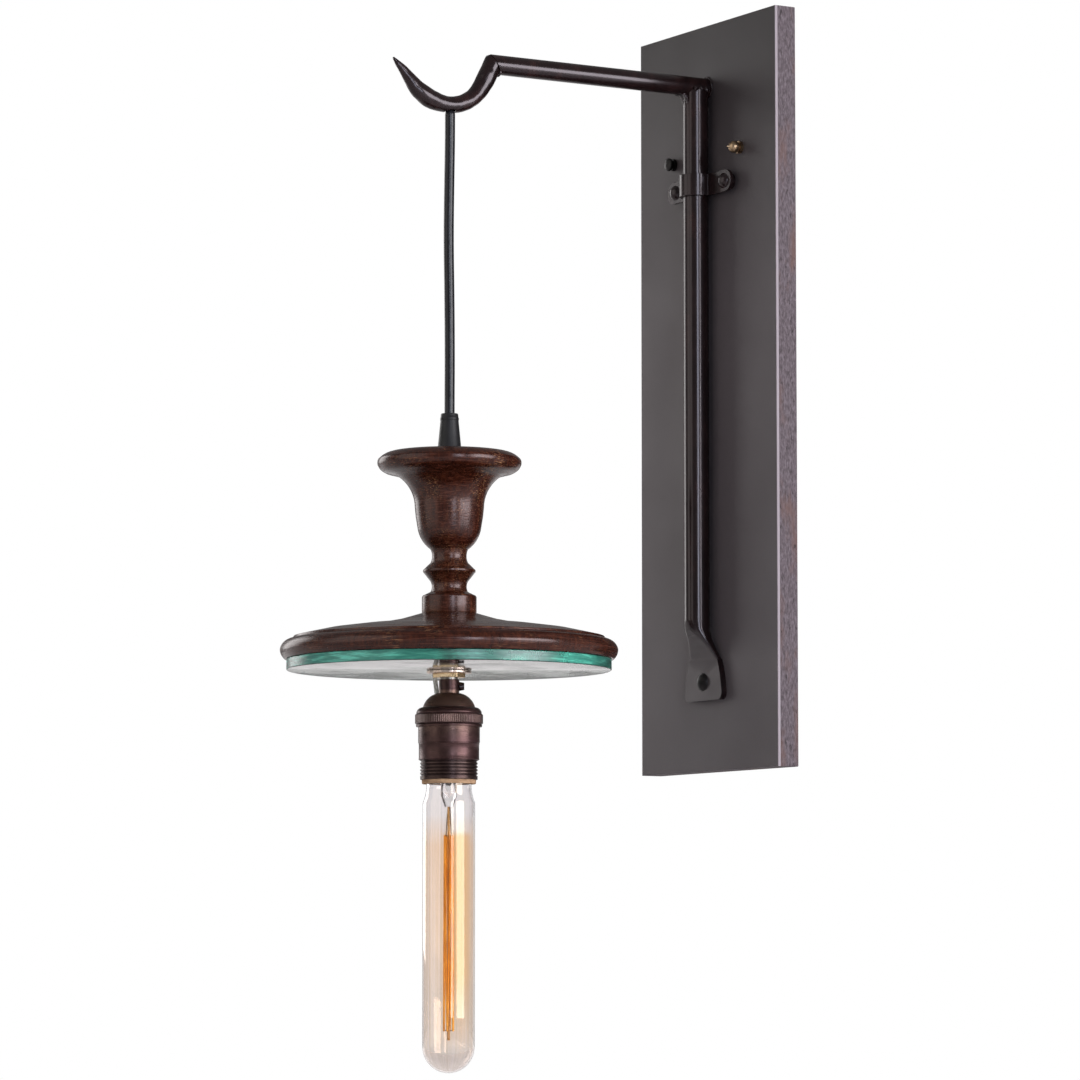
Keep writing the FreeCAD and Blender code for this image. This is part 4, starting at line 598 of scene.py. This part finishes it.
grain, grain_in, grain_out = new_group("turning_lines", [
    ("Vector", "NodeSocketVector", None), ("Fineness", "NodeSocketFloat", 600.0),
    ("Breaks", "NodeSocketFloat", 1.0)], ["Lines", "Grain"])
grain_parts = parts_of(grain, grain_in["Vector"])
grain_turn = turn_of(grain, grain_parts)
grain_lines = put(grain, "ShaderNodeCombineXYZ", {
    "X": sum_of(grain, "MULTIPLY", sum_of(grain, "SINE", grain_turn), grain_in["Breaks"]),
    "Y": sum_of(grain, "MULTIPLY", sum_of(grain, "COSINE", grain_turn), grain_in["Breaks"]),
    "Z": sum_of(grain, "MULTIPLY", grain_parts["Z"], grain_in["Fineness"])}).outputs[0]
grain_wood = put(grain, "ShaderNodeMapping", {
    "Vector": grain_in["Vector"], "Scale": (1.0, 1.0, 0.12)}).outputs["Vector"]
feed(grain_out, {"Lines": cloud(grain, grain_lines, 1.6, 3.0, 0.6),
                 "Grain": cloud(grain, grain_wood, 420.0, 4.0, 0.65)})


def turning_lines(tree, vector, fineness, breaks=1.0):
    """Fine lines round a turned piece, in longer or shorter lengths, and a grain along it."""
    made = put(tree, "ShaderNodeGroup", {
        "Vector": vector, "Fineness": fineness, "Breaks": breaks}, node_tree=grain)
    return made.outputs["Lines"], made.outputs["Grain"]


rubbed, rubbed_in, rubbed_out = new_group("rubbed_edges", [
    ("Vector", "NodeSocketVector", None), ("Breakup Scale", "NodeSocketFloat", 200.0),
    ("Low", "NodeSocketFloat", 0.51), ("High", "NodeSocketFloat", 0.56)], ["Mask"])
rubbed_sharp = between(rubbed, put(rubbed, "ShaderNodeNewGeometry").outputs["Pointiness"],
                       rubbed_in["Low"], rubbed_in["High"])
rubbed_noise = cloud(rubbed, rubbed_in["Vector"], rubbed_in["Breakup Scale"], 5.0, 0.6)
feed(rubbed_out, {"Mask": sum_of(
    rubbed, "MULTIPLY", rubbed_sharp, between(rubbed, rubbed_noise, 0.35, 0.62), clamp=True)})


def rubbed_edges(tree, vector, breakup, low, high):
    """Where edges stand out, from 0 to 1, broken up by noise."""
    return put(tree, "ShaderNodeGroup", {
        "Vector": vector, "Breakup Scale": breakup, "Low": low, "High": high},
        node_tree=rubbed).outputs["Mask"]


red_wood, wood_tree, wood_in = new_finish("rubbed_red_wood", {
    "Specular IOR Level": 0.42, "Specular Tint": (1.0, 0.82, 0.80, 1.0)})
wood_where = places(wood_tree, centre=PLUMB)
wood_lines, wood_grain = turning_lines(wood_tree, wood_where, 700.0, 2.5)
wood_base = steps(wood_tree, wood_grain, (0.25, (0.0100, 0.0022, 0.0014)),
                  (0.5, (0.028, 0.0062, 0.0030)), (0.8, (0.075, 0.0195, 0.0085)))
wood_streaks = steps(wood_tree, wood_lines, (0.50, 0.0), (0.74, 0.6))
wood_streaked = blend_of(wood_tree, wood_streaks, wood_base, (0.105, 0.030, 0.016))
wood_rubs = steps(wood_tree, cloud(wood_tree, wood_where, 55.0, 3.0, 0.5), (0.50, 0.0), (0.66, 1.0))
wood_cuts = steps(wood_tree, turning_lines(wood_tree, wood_where, 1900.0, 10.0)[0],
                  (0.56, 0.0), (0.70, 0.9))
wood_scratches = sum_of(wood_tree, "MULTIPLY", wood_rubs, wood_cuts)
wood_scratched = blend_of(wood_tree, wood_scratches, wood_streaked, (0.42, 0.21, 0.10))
wood_wear = rubbed_edges(wood_tree, wood_where, 130.0, 0.53, 0.60)
wood_skin = sum_of(wood_tree, "ADD", wood_lines,
                   sum_of(wood_tree, "MULTIPLY", wood_grain, 0.4))
feed(wood_in, {
    "Base Color": blend_of(wood_tree, wood_wear, wood_scratched, (0.30, 0.135, 0.07)),
    "Roughness": steps(wood_tree, wood_lines, (0.3, 0.15), (0.7, 0.32)),
    "Normal": relief(wood_tree, wood_skin, 0.17, 0.6 * MM)})
spindle = turned("turned_spindle", [
    (BORE, 0.0), (31.5, 0.0), (33.0, -0.25), (38.5, -3.3, 11.0, -1), (39.6, -5.4, 2.6, -1),
    (39.1, -7.8, 3.6, -1), (36.5, -10.6, 6.0, -1), (35.0, -11.4), (28.5, -13.0),
    (19.0, -30.5, 21.0, 1), (17.6, -41.0, 90.0, -1), (10.3, -53.6, 17.7, -1),
    (10.3, -61.0, 8.5, 1), (14.1, -64.7), (14.4, -65.2, 0.6, -1), (14.4, -66.0),
    (14.0, -66.5, 0.8, -1), (10.3, -71.2), (10.3, -77.0, 6.0, 1), (13.7, -78.7),
    (15.0, -80.0, 1.56, -1), (15.0, -88.2), (14.7, -SPINDLE_HEIGHT), (PEG_RADIUS, -SPINDLE_HEIGHT),
    (PEG_RADIUS, -SPINDLE_HEIGHT - PEG_LENGTH), (BORE, -SPINDLE_HEIGHT - PEG_LENGTH)],
    SPINDLE_TOP, sides=160, angle=28.0)
fit(spindle, red_wood, "pendant", "turned_wood", "spindle")

# Wooden disc: turned from a plank, with a dished boss, a shallow cone and a bullnose rim, in the
# same finish. A quirk is cut just inside the rim, and the spindle's peg sits in its middle.
PEG_PLAY = 0.1
DISC_TOP = SPINDLE_TOP - SPINDLE_HEIGHT
DISC_THICKNESS = 25.2
wood_disc = turned("wood_disc", [
    (PEG_RADIUS + PEG_PLAY, 0.0), (15.6, 0.0), (51.0, -6.8, 130.0, 1), (85.2, -12.8, 220.0, -1),
    (85.5, -14.0), (86.4, -14.3), (92.6, -19.8, 6.6, -1), (90.6, -24.6, 6.6, -1),
    (89.6, -DISC_THICKNESS, 1.2, -1), (BORE, -DISC_THICKNESS), (BORE, -PEG_LENGTH - PEG_PLAY),
    (PEG_RADIUS + PEG_PLAY, -PEG_LENGTH - PEG_PLAY)], DISC_TOP, sides=224, angle=28.0)
fit(wood_disc, red_wood, "pendant", "turned_wood", "base_disc")

# Glass disc: 6 mm plate glass, cut round and ground at the edge, clamped under the wood. It is
# green through its thickness, its edge is streaked, and wiped dust has left its faces patchy.
GLASS_TOP = DISC_TOP - DISC_THICKNESS
GLASS_THICKNESS = 6.0
GLASS_RADIUS = 89.0
GLASS_EASING = 0.6


def eased_disc(bore, radius, thickness, easing):
    """The outline of a flat disc with a hole in the middle and a rounded rim."""
    return [(bore, 0.0), (radius - easing, 0.0), (radius, -easing, easing, -1),
            (radius, easing - thickness), (radius - easing, -thickness, easing, -1),
            (bore, -thickness)]


plate_glass, glass_tree, glass_in = new_finish("plate_glass", {
    "Transmission Weight": 1.0, "IOR": 1.5})
glass_where = places(glass_tree, centre=PLUMB + Vector((0, 0, GLASS_TOP * MM)))
glass_parts = parts_of(glass_tree, glass_where)
glass_flat = put(glass_tree, "ShaderNodeCombineXYZ", {
    "X": glass_parts["X"], "Y": glass_parts["Y"]}).outputs[0]
glass_reach = put(glass_tree, "ShaderNodeVectorMath", {0: glass_flat}, operation="LENGTH")
glass_edge = between(glass_tree, glass_reach.outputs["Value"],
                     (GLASS_RADIUS - GLASS_EASING) * MM, (GLASS_RADIUS - 0.2) * MM)
glass_patches = mottled(glass_tree, glass_where, 26.0, 240.0)[0]
glass_lines = turning_lines(glass_tree, glass_where, 330.0, 3.0)[0]
glass_tint = steps(glass_tree, glass_lines, (0.36, (0.008, 0.105, 0.085)),
                   (0.52, (0.035, 0.25, 0.19)), (0.66, (0.19, 0.90, 0.70)))
glass_wiped = steps(glass_tree, glass_patches, (0.40, 0.04), (0.7, 0.24))
feed(glass_in, {
    "Base Color": blend_of(glass_tree, glass_edge, (0.80, 0.90, 0.86), glass_tint),
    "Roughness": sum_of(glass_tree, "ADD", glass_wiped,
                        sum_of(glass_tree, "MULTIPLY", glass_edge, 0.22))})
glass_plate = turned("glass_plate", eased_disc(BORE, GLASS_RADIUS, GLASS_THICKNESS, GLASS_EASING),
                     GLASS_TOP, sides=224)
fit(glass_plate, plate_glass, "pendant", "green_glass", "glass_disc")

# Washer and hexagon nut under the glass, cast and turned brass, left bright. They hold the
# wood, the glass and the pipe together. A clear earth lead with a tinned core runs beside them.
WASHER_TOP = GLASS_TOP - GLASS_THICKNESS
WASHER_THICKNESS = 1.7
NUT_HEIGHT = 2.2
washer = turned("pipe_washer", eased_disc(PIPE_THREAD, 12.2, WASHER_THICKNESS, 0.4),
                WASHER_TOP, sides=96)
pale_brass = mottled_finish("pale_brass", {"Metallic": 0.9}, (140.0, 1000.0),
                            (0.46, 0.35, 0.29), (0.70, 0.58, 0.50), (0.2, 0.38))
fit(washer, pale_brass, "pendant", "brass", "brass_washer")
gold_brass = mottled_finish("golden_brass", {"Metallic": 0.9}, (170.0, 1100.0),
                            (0.74, 0.49, 0.25), (0.94, 0.72, 0.44), (0.22, 0.4))
show_solid("brass_hex_nut", "pipe_nut", gold_brass, "pendant", "brass", 30.0, FINE_EDGE)
clear_lead = clouded_finish(
    "clear_lead", {"Roughness": 0.2, "Transmission Weight": 0.35, "IOR": 1.45}, 900.0,
    (0.42, 0.40, 0.36), (0.85, 0.83, 0.78), stops=(0.35, 0.65))
show_solid("earth_lead", "earth_wire", clear_lead, "pendant", "clear_cover", 40.0)

# Lampholder: spun brass, bronzed dark with a red-purple cast. Its cap's dome is painted paler as
# painted light, and its collar has a knurled band. Its two-step shell ends in five dark grooves,
# like a thread, with the card liner just below them. The core inside is pale, with brass contacts.
HUB_TOP = WASHER_TOP - WASHER_THICKNESS - NUT_HEIGHT - 1.1
COLLAR_TOP = HUB_TOP - 15.3
SHELL_TOP = COLLAR_TOP - 3.8
LINER_TOP = COLLAR_TOP - 14.9
THREAD_TOP = SHELL_TOP - 25.0
GROOVES = 5
FIRST_GROOVE = -25.9
GROOVE_PITCH = 1.83
GROOVE_OUTLINE = [(15.7, 0.5), (15.5, 0.4), (15.05, 0.12), (15.05, -0.12), (15.5, -0.4),
                  (15.7, -0.5)]
KNURL_RIBS = 110.0
KNURL_MIDDLE = COLLAR_TOP - 6.45
KNURL_REACH = 2.4
bronze, bronze_tree, bronze_in = new_finish("red_bronze", {
    "Metallic": 0.7, "Specular IOR Level": 0.4})
bronze_where = places(bronze_tree, centre=PLUMB)
bronze_z = parts_of(bronze_tree, bronze_where)["Z"]
bronze_lines = turning_lines(bronze_tree, bronze_where, 1800.0)[0]
bronze_patches = mottled(bronze_tree, bronze_where, 75.0, 1200.0)[0]
bronze_base = steps(bronze_tree, bronze_patches, (0.3, (0.036, 0.018, 0.015)),
                    (0.55, (0.064, 0.031, 0.029)), (0.8, (0.095, 0.047, 0.050)))
bronze_thread = between(bronze_tree, bronze_z, THREAD_TOP * MM, (THREAD_TOP - 0.4) * MM, high=0.75)
bronze_threaded = blend_of(bronze_tree, bronze_thread, bronze_base, (0.022, 0.012, 0.011))
# Painted light: the cap's dome is painted paler.
painted_dome_light = sum_of(
    bronze_tree, "MULTIPLY",
    between(bronze_tree, bronze_z, (COLLAR_TOP - 0.3) * MM, (COLLAR_TOP + 1.2) * MM, high=0.75),
    between(bronze_tree, bronze_z, (HUB_TOP - 5.4) * MM, (HUB_TOP - 6.4) * MM))
bronze_with_dome_light = blend_of(bronze_tree, painted_dome_light, bronze_threaded, (0.155, 0.092, 0.068))
bronze_wear = rubbed_edges(bronze_tree, bronze_where, 300.0, 0.56, 0.68)
feed(bronze_in, {
    "Base Color": blend_of(bronze_tree, bronze_wear, bronze_with_dome_light, (0.26, 0.17, 0.12)),
    "Roughness": steps(bronze_tree, bronze_lines, (0.3, 0.26), (0.7, 0.42)),
    "Normal": relief(bronze_tree, bronze_lines, 0.07, 0.3 * MM)})
show_solid("socket_cap", "holder_cap", bronze, "pendant", "bronzed_brass", 35.0)
show_solid("set_screw", "cap_set_screw", forged_black, "pendant", "bronzed_brass", 35.0, FINE_EDGE)

collar = turned("holder_collar", [
    (13.1, -0.1), (14.7, 0.0), (16.9, -1.0, 3.2, -1), (17.9, -3.0, 3.0, -1), (17.75, -3.5),
    (18.3, -3.8, 0.5, -1), (18.6, -4.3, 0.6, -1), (18.6, -8.6), (18.2, -9.1, 0.5, -1),
    (17.7, -9.3), (18.1, -9.8, 0.5, -1), (18.0, -10.6), (16.9, -10.6), (16.9, -3.8),
    (13.1, -1.7)], COLLAR_TOP, sides=160)
knurled, knurl_tree, knurl_in, unknurled = finish_like(bronze, "knurled_bronze")
knurl_parts = parts_of(knurl_tree, places(knurl_tree, centre=PLUMB))
knurl_ribs = sum_of(knurl_tree, "SINE", sum_of(
    knurl_tree, "MULTIPLY", turn_of(knurl_tree, knurl_parts), KNURL_RIBS))
knurl_off = sum_of(knurl_tree, "ABSOLUTE", sum_of(
    knurl_tree, "SUBTRACT", knurl_parts["Z"], KNURL_MIDDLE * MM))
knurl_mask = sum_of(knurl_tree, "MULTIPLY", knurl_ribs,
                    between(knurl_tree, knurl_off, KNURL_REACH * MM, (KNURL_REACH - 0.5) * MM))
knurl_worn = steps(knurl_tree, knurl_mask, (0.1, 0.0), (0.9, 0.7))
feed(knurl_in, {
    "Base Color": blend_of(knurl_tree, knurl_worn, unknurled, (0.19, 0.135, 0.11)),
    "Normal": relief(knurl_tree, knurl_mask, 0.7, 0.2 * MM)})
fit(collar, knurled, "pendant", "bronzed_brass", "socket_collar")

shell_outline = [
    (14.9, 0.0), (16.85, 0.0), (16.85, -15.5), (16.6, -15.7), (16.6, -16.0), (16.7, -16.2),
    (16.5, -16.6), (16.5, -24.1), (16.62, -24.3), (16.62, -24.7), (16.3, -25.0), (15.7, -25.1)]
for groove in range(GROOVES):
    shell_outline += [(radius, height + FIRST_GROOVE - GROOVE_PITCH * groove)
                      for radius, height in GROOVE_OUTLINE]
shell_outline += [(15.7, -35.5), (15.5, -35.7), (14.9, -35.7)]
shell = turned("holder_shell", shell_outline, SHELL_TOP, sides=160, angle=40.0)
fit(shell, bronze, "pendant", "bronzed_brass", "socket_shell")
liner = turned("card_liner", [
    (14.05, 0.0), (14.85, 0.0), (14.85, -25.6), (14.75, -26.6), (14.6, -26.9), (14.2, -26.8),
    (14.05, -26.5)], LINER_TOP)
card, card_tree, card_in = new_finish("tan_card", {"Roughness": 0.85, "Specular IOR Level": 0.2})
card_patches, card_grit = mottled(card_tree, places(card_tree, stretch=(1, 1, 3)), 180.0, 1400.0)
feed(card_in, {
    "Base Color": steps(card_tree, card_patches, (0.3, (0.26, 0.15, 0.085)),
                        (0.7, (0.50, 0.32, 0.19))),
    "Normal": relief(card_tree, card_grit, 0.3, 0.3 * MM)})
fit(liner, card, "pendant", "card", "cardboard_liner")
porcelain = clouded_finish("moulded_core", {"Roughness": 0.35}, 300.0,
                           (0.62, 0.60, 0.55), (0.74, 0.72, 0.67))
finish_solid(porcelain, "socket_core")
finish_solid(brass, "screw_shell", "centre_contact", "terminal_screws")

# Lamp: a tubular lamp with a plated screw cap. The tube is clear at the neck and washed with amber
# lustre below. A painted glow band, warm light from the filament, is painted into it a little to
# the right, as the camera sees it. The clear stem carries a glass rod with a long zigzag filament.
LAMP_TOP = LINER_TOP - 1.1
CAP_LOW = LAMP_TOP - 25.2
LAMP_LOW = LAMP_TOP - 182.8
TUBE_LENGTH = CAP_LOW - LAMP_LOW
TUBE_RADIUS = 14.3
GLASS_WALL = 0.8
BAND_TOP = CAP_LOW - 26.6
BAND_FADES = LAMP_LOW + 53.5
BAND_LOW = LAMP_LOW + 12.5
BAND_TURN = math.pi / 2 - CAMERA_TURN - math.radians(22)
FILAMENT_SWELL = 0.35
tube = turned("lamp_tube", [
    (11.6, 7.0), (12.4, 7.0), (12.4, 0.8), (12.3, 0.0), (TUBE_RADIUS, -11.0, 24.0, 1),
    (TUBE_RADIUS, TUBE_RADIUS - TUBE_LENGTH), (0.0, -TUBE_LENGTH, TUBE_RADIUS, -1)],
    CAP_LOW, angle=60.0)
only(tube)
wall = tube.modifiers.new("wall", "SOLIDIFY")
wall.thickness = GLASS_WALL * MM
wall.offset = -1.0
bpy.ops.object.modifier_apply(modifier="wall")
bpy.ops.object.shade_smooth_by_angle(angle=math.radians(60))
amber, amber_tree, amber_in = new_finish("amber_glass", {
    "Transmission Weight": 1.0, "IOR": 1.46, "Roughness": 0.0,
    "Specular Tint": (1.0, 0.84, 0.66, 1.0)})
amber_where = places(amber_tree, centre=PLUMB)
amber_parts = parts_of(amber_tree, amber_where)
amber_down = between(amber_tree, amber_parts["Z"], CAP_LOW * MM, LAMP_LOW * MM)
amber_wash = steps(amber_tree, amber_down, (0.0, (0.84, 0.82, 0.82)),
                   (0.11, (0.83, 0.80, 0.79)), (0.22, (0.84, 0.69, 0.56)),
                   (0.5, (0.84, 0.71, 0.59)), (0.88, (0.82, 0.73, 0.65)),
                   (0.95, (0.74, 0.69, 0.64)))
amber_streaks = steps(amber_tree, turning_lines(amber_tree, amber_where, 3.0, 6.0)[0],
                      (0.35, 0.0), (0.65, 0.55))
amber_streaked = blend_of(amber_tree, amber_streaks, amber_wash, (0.92, 0.88, 0.90))
# Painted light: a warm glow band that the lit filament throws on the tube, turned towards the
# camera.
band_round = sum_of(amber_tree, "COSINE", sum_of(
    amber_tree, "ADD", turn_of(amber_tree, amber_parts), BAND_TURN))
band_length = sum_of(
    amber_tree, "MULTIPLY",
    between(amber_tree, amber_parts["Z"], BAND_TOP * MM, (BAND_TOP - 3.0) * MM),
    between(amber_tree, amber_parts["Z"], BAND_LOW * MM, BAND_FADES * MM))
painted_glow_band = sum_of(amber_tree, "MULTIPLY", band_length, steps(
    amber_tree, band_round, (0.76, 0.0), (0.88, 0.6), (0.95, 0.9), (0.995, 1.0)))
feed(amber_in, {
    "Base Color": blend_of(amber_tree, painted_glow_band, amber_streaked, (0.86, 0.60, 0.34))})
fit(tube, amber, "lamp", "amber_glass", "lamp_glass")

nickel = clouded_finish("plated_cap", {"Metallic": 1.0, "Roughness": 0.28}, 200.0,
                        (0.48, 0.45, 0.38), (0.66, 0.63, 0.56))
finish_solid(nickel, "lamp_cap", "lamp_contact")
black_glass = clouded_finish("black_glass", {"Roughness": 0.12}, 200.0,
                             (0.008, 0.008, 0.009), (0.02, 0.02, 0.022))
finish_solid(black_glass, "lamp_insulator")
stem_glass = clouded_finish(
    "stem_glass", {"Transmission Weight": 1.0, "IOR": 1.5, "Roughness": 0.02}, 150.0,
    (0.86, 0.86, 0.85), (0.97, 0.97, 0.96))
show_solid("glass_stem", "lamp_stem", stem_glass, "lamp", "clear_glass", 50.0)
rod_glass = clouded_finish(
    "amber_rod", {"Transmission Weight": 0.6, "IOR": 1.5, "Roughness": 0.08}, 900.0,
    (0.60, 0.25, 0.04), (0.95, 0.60, 0.18), stretch=(1, 1, 0.1))
show_solid("glass_rod", "lamp_rod", rod_glass, "lamp", "clear_glass", 50.0)
hot_wire = clouded_finish(
    "filament_wire", {"Roughness": 0.4, "Emission Strength": 0.3, "Metallic": 0.3}, 300.0,
    (0.50, 0.19, 0.015), (0.85, 0.46, 0.07), stretch=(1, 1, 0.3),
    coloured=("Base Color", "Emission Color"))
filament = smooth_copy("filament", "lamp_filament", 50.0)
pick(filament, lambda vertex: True)
bpy.ops.transform.shrink_fatten(value=FILAMENT_SWELL * MM)
done()
fit(filament, hot_wire, "lamp", "filament_wire", "filament")
support_wire = clouded_finish("support_wire", {"Metallic": 0.8, "Roughness": 0.35}, 500.0,
                              (0.10, 0.08, 0.06), (0.28, 0.22, 0.16))
finish_solid(support_wire, "lead_wires", "support_hooks")

# Room: a pale floor below the lamp, a white background and four soft panels: a cool strip and a
# wide window to the right of the camera, a wide dim wall to its left and a window further round.
# The camera sees floor and world bright, but they light and mirror little. The floor is seen
# through from below, and through glass the world is darker away from the line of sight. Sizes
# are in metres again.
FLOOR_SIZE = 9.0
FLOOR_LEVEL = -0.64
FLOOR_BRIGHTNESS = 0.78
FLOOR_MIRRORED = 0.12
SWEEP_FROM = 0.6
SWEEP_TO = 2.4
LIGHT_AIM = Vector((0.0, -0.1, -0.2))


def along_view(tree, vector):
    """How far a vector goes along the camera's line of sight."""
    return put(tree, "ShaderNodeVectorMath", {0: vector, 1: tuple(camera_look)},
               operation="DOT_PRODUCT").outputs["Value"]


bpy.ops.object.select_all(action="DESELECT")
bpy.ops.mesh.primitive_plane_add(size=FLOOR_SIZE, location=(0, 0, FLOOR_LEVEL))
floor = bpy.context.active_object
floor.name = "floor"
pale_floor, floor_tree, floor_in = new_finish("pale_floor", {
    "Roughness": 0.9, "Base Color": (0.70, 0.69, 0.69, 1.0),
    "Emission Color": (1.0, 0.97, 0.975, 1.0)})
floor_rays = put(floor_tree, "ShaderNodeLightPath").outputs
floor_sweep = between(floor_tree, along_view(floor_tree, places(floor_tree)),
                      SWEEP_FROM, SWEEP_TO, low=FLOOR_MIRRORED)
floor_mirrored = sum_of(floor_tree, "MULTIPLY", floor_rays["Is Glossy Ray"], floor_sweep)
floor_shown = sum_of(floor_tree, "MAXIMUM", floor_rays["Is Camera Ray"], sum_of(
    floor_tree, "MAXIMUM", floor_rays["Is Transmission Ray"], floor_mirrored))
feed(floor_in, {
    "Emission Strength": sum_of(floor_tree, "MULTIPLY", floor_shown, FLOOR_BRIGHTNESS)})
floor_side = put(floor_tree, "ShaderNodeMixShader", {
    0: put(floor_tree, "ShaderNodeNewGeometry").outputs["Backfacing"],
    1: floor_tree.nodes["Principled BSDF"].outputs[0],
    2: put(floor_tree, "ShaderNodeBsdfTransparent").outputs[0]})
feed(floor_tree.nodes["Material Output"].inputs, {"Surface": floor_side.outputs[0]})
floor.data.materials.append(pale_floor)


def panel_at(name, right_of_camera, rise, distance, width, height, brightness, tint):
    """A soft panel light that faces the sconce's middle, at angles in degrees from the camera
    and from level. Brightness is that of the panel."""
    data = bpy.data.lights.new(name, "AREA")
    data.shape = "RECTANGLE"
    data.size, data.size_y = width, height
    data.energy = brightness * math.pi * width * height
    data.color = tint
    light = bpy.data.objects.new(name, data)
    away = towards(CAMERA_TURN + math.radians(right_of_camera), math.radians(rise))
    light.location = LIGHT_AIM + away * distance
    light.rotation_euler = (-away).to_track_quat("-Z", "Y").to_euler()
    scene.collection.objects.link(light)


panel_at("front_strip", 15.0, 7, 2.4, 0.45, 1.25, 9.5, (0.78, 0.86, 1.0))
panel_at("right_window", 54.0, 7, 2.4, 1.7, 1.25, 8.8, (0.95, 0.95, 1.0))
panel_at("left_window", -134.0, 12, 2.0, 0.95, 1.2, 2.6, (1.0, 0.98, 0.97))
panel_at("left_wall", -64.0, 15, 2.0, 1.9, 2.2, 1.0, (1.0, 0.97, 0.92))

WORLD_MIRRORED = 0.08
WORLD_GLOW = 0.17
WORLD_ASIDE = 0.35
ASIDE = 0.70
STRAIGHT_ON = 0.92
world = bpy.data.worlds.new("studio")
scene.world = world
world.use_nodes = True
sky = world.node_tree
sky.nodes.clear()
rays = put(sky, "ShaderNodeLightPath").outputs
mirrored = sum_of(sky, "MULTIPLY", rays["Is Glossy Ray"], WORLD_MIRRORED)
backdrop = along_view(sky, put(sky, "ShaderNodeTexCoord").outputs["Generated"])
through_glass = sum_of(sky, "MULTIPLY", rays["Is Transmission Ray"],
                       between(sky, backdrop, ASIDE, STRAIGHT_ON, low=WORLD_ASIDE))
seen = sum_of(sky, "MAXIMUM", rays["Is Camera Ray"],
              sum_of(sky, "MAXIMUM", mirrored, through_glass))
glow = put(sky, "ShaderNodeBackground", {
    "Color": (1.0, 0.97, 0.97, 1.0), "Strength": WORLD_GLOW})
white = put(sky, "ShaderNodeBackground", {"Color": (1.0, 1.0, 1.0, 1.0), "Strength": 1.0})
both = put(sky, "ShaderNodeMixShader", {0: seen, 1: glow.outputs[0], 2: white.outputs[0]})
put(sky, "ShaderNodeOutputWorld", {"Surface": both.outputs[0]})
scene.view_settings.view_transform = "Standard"
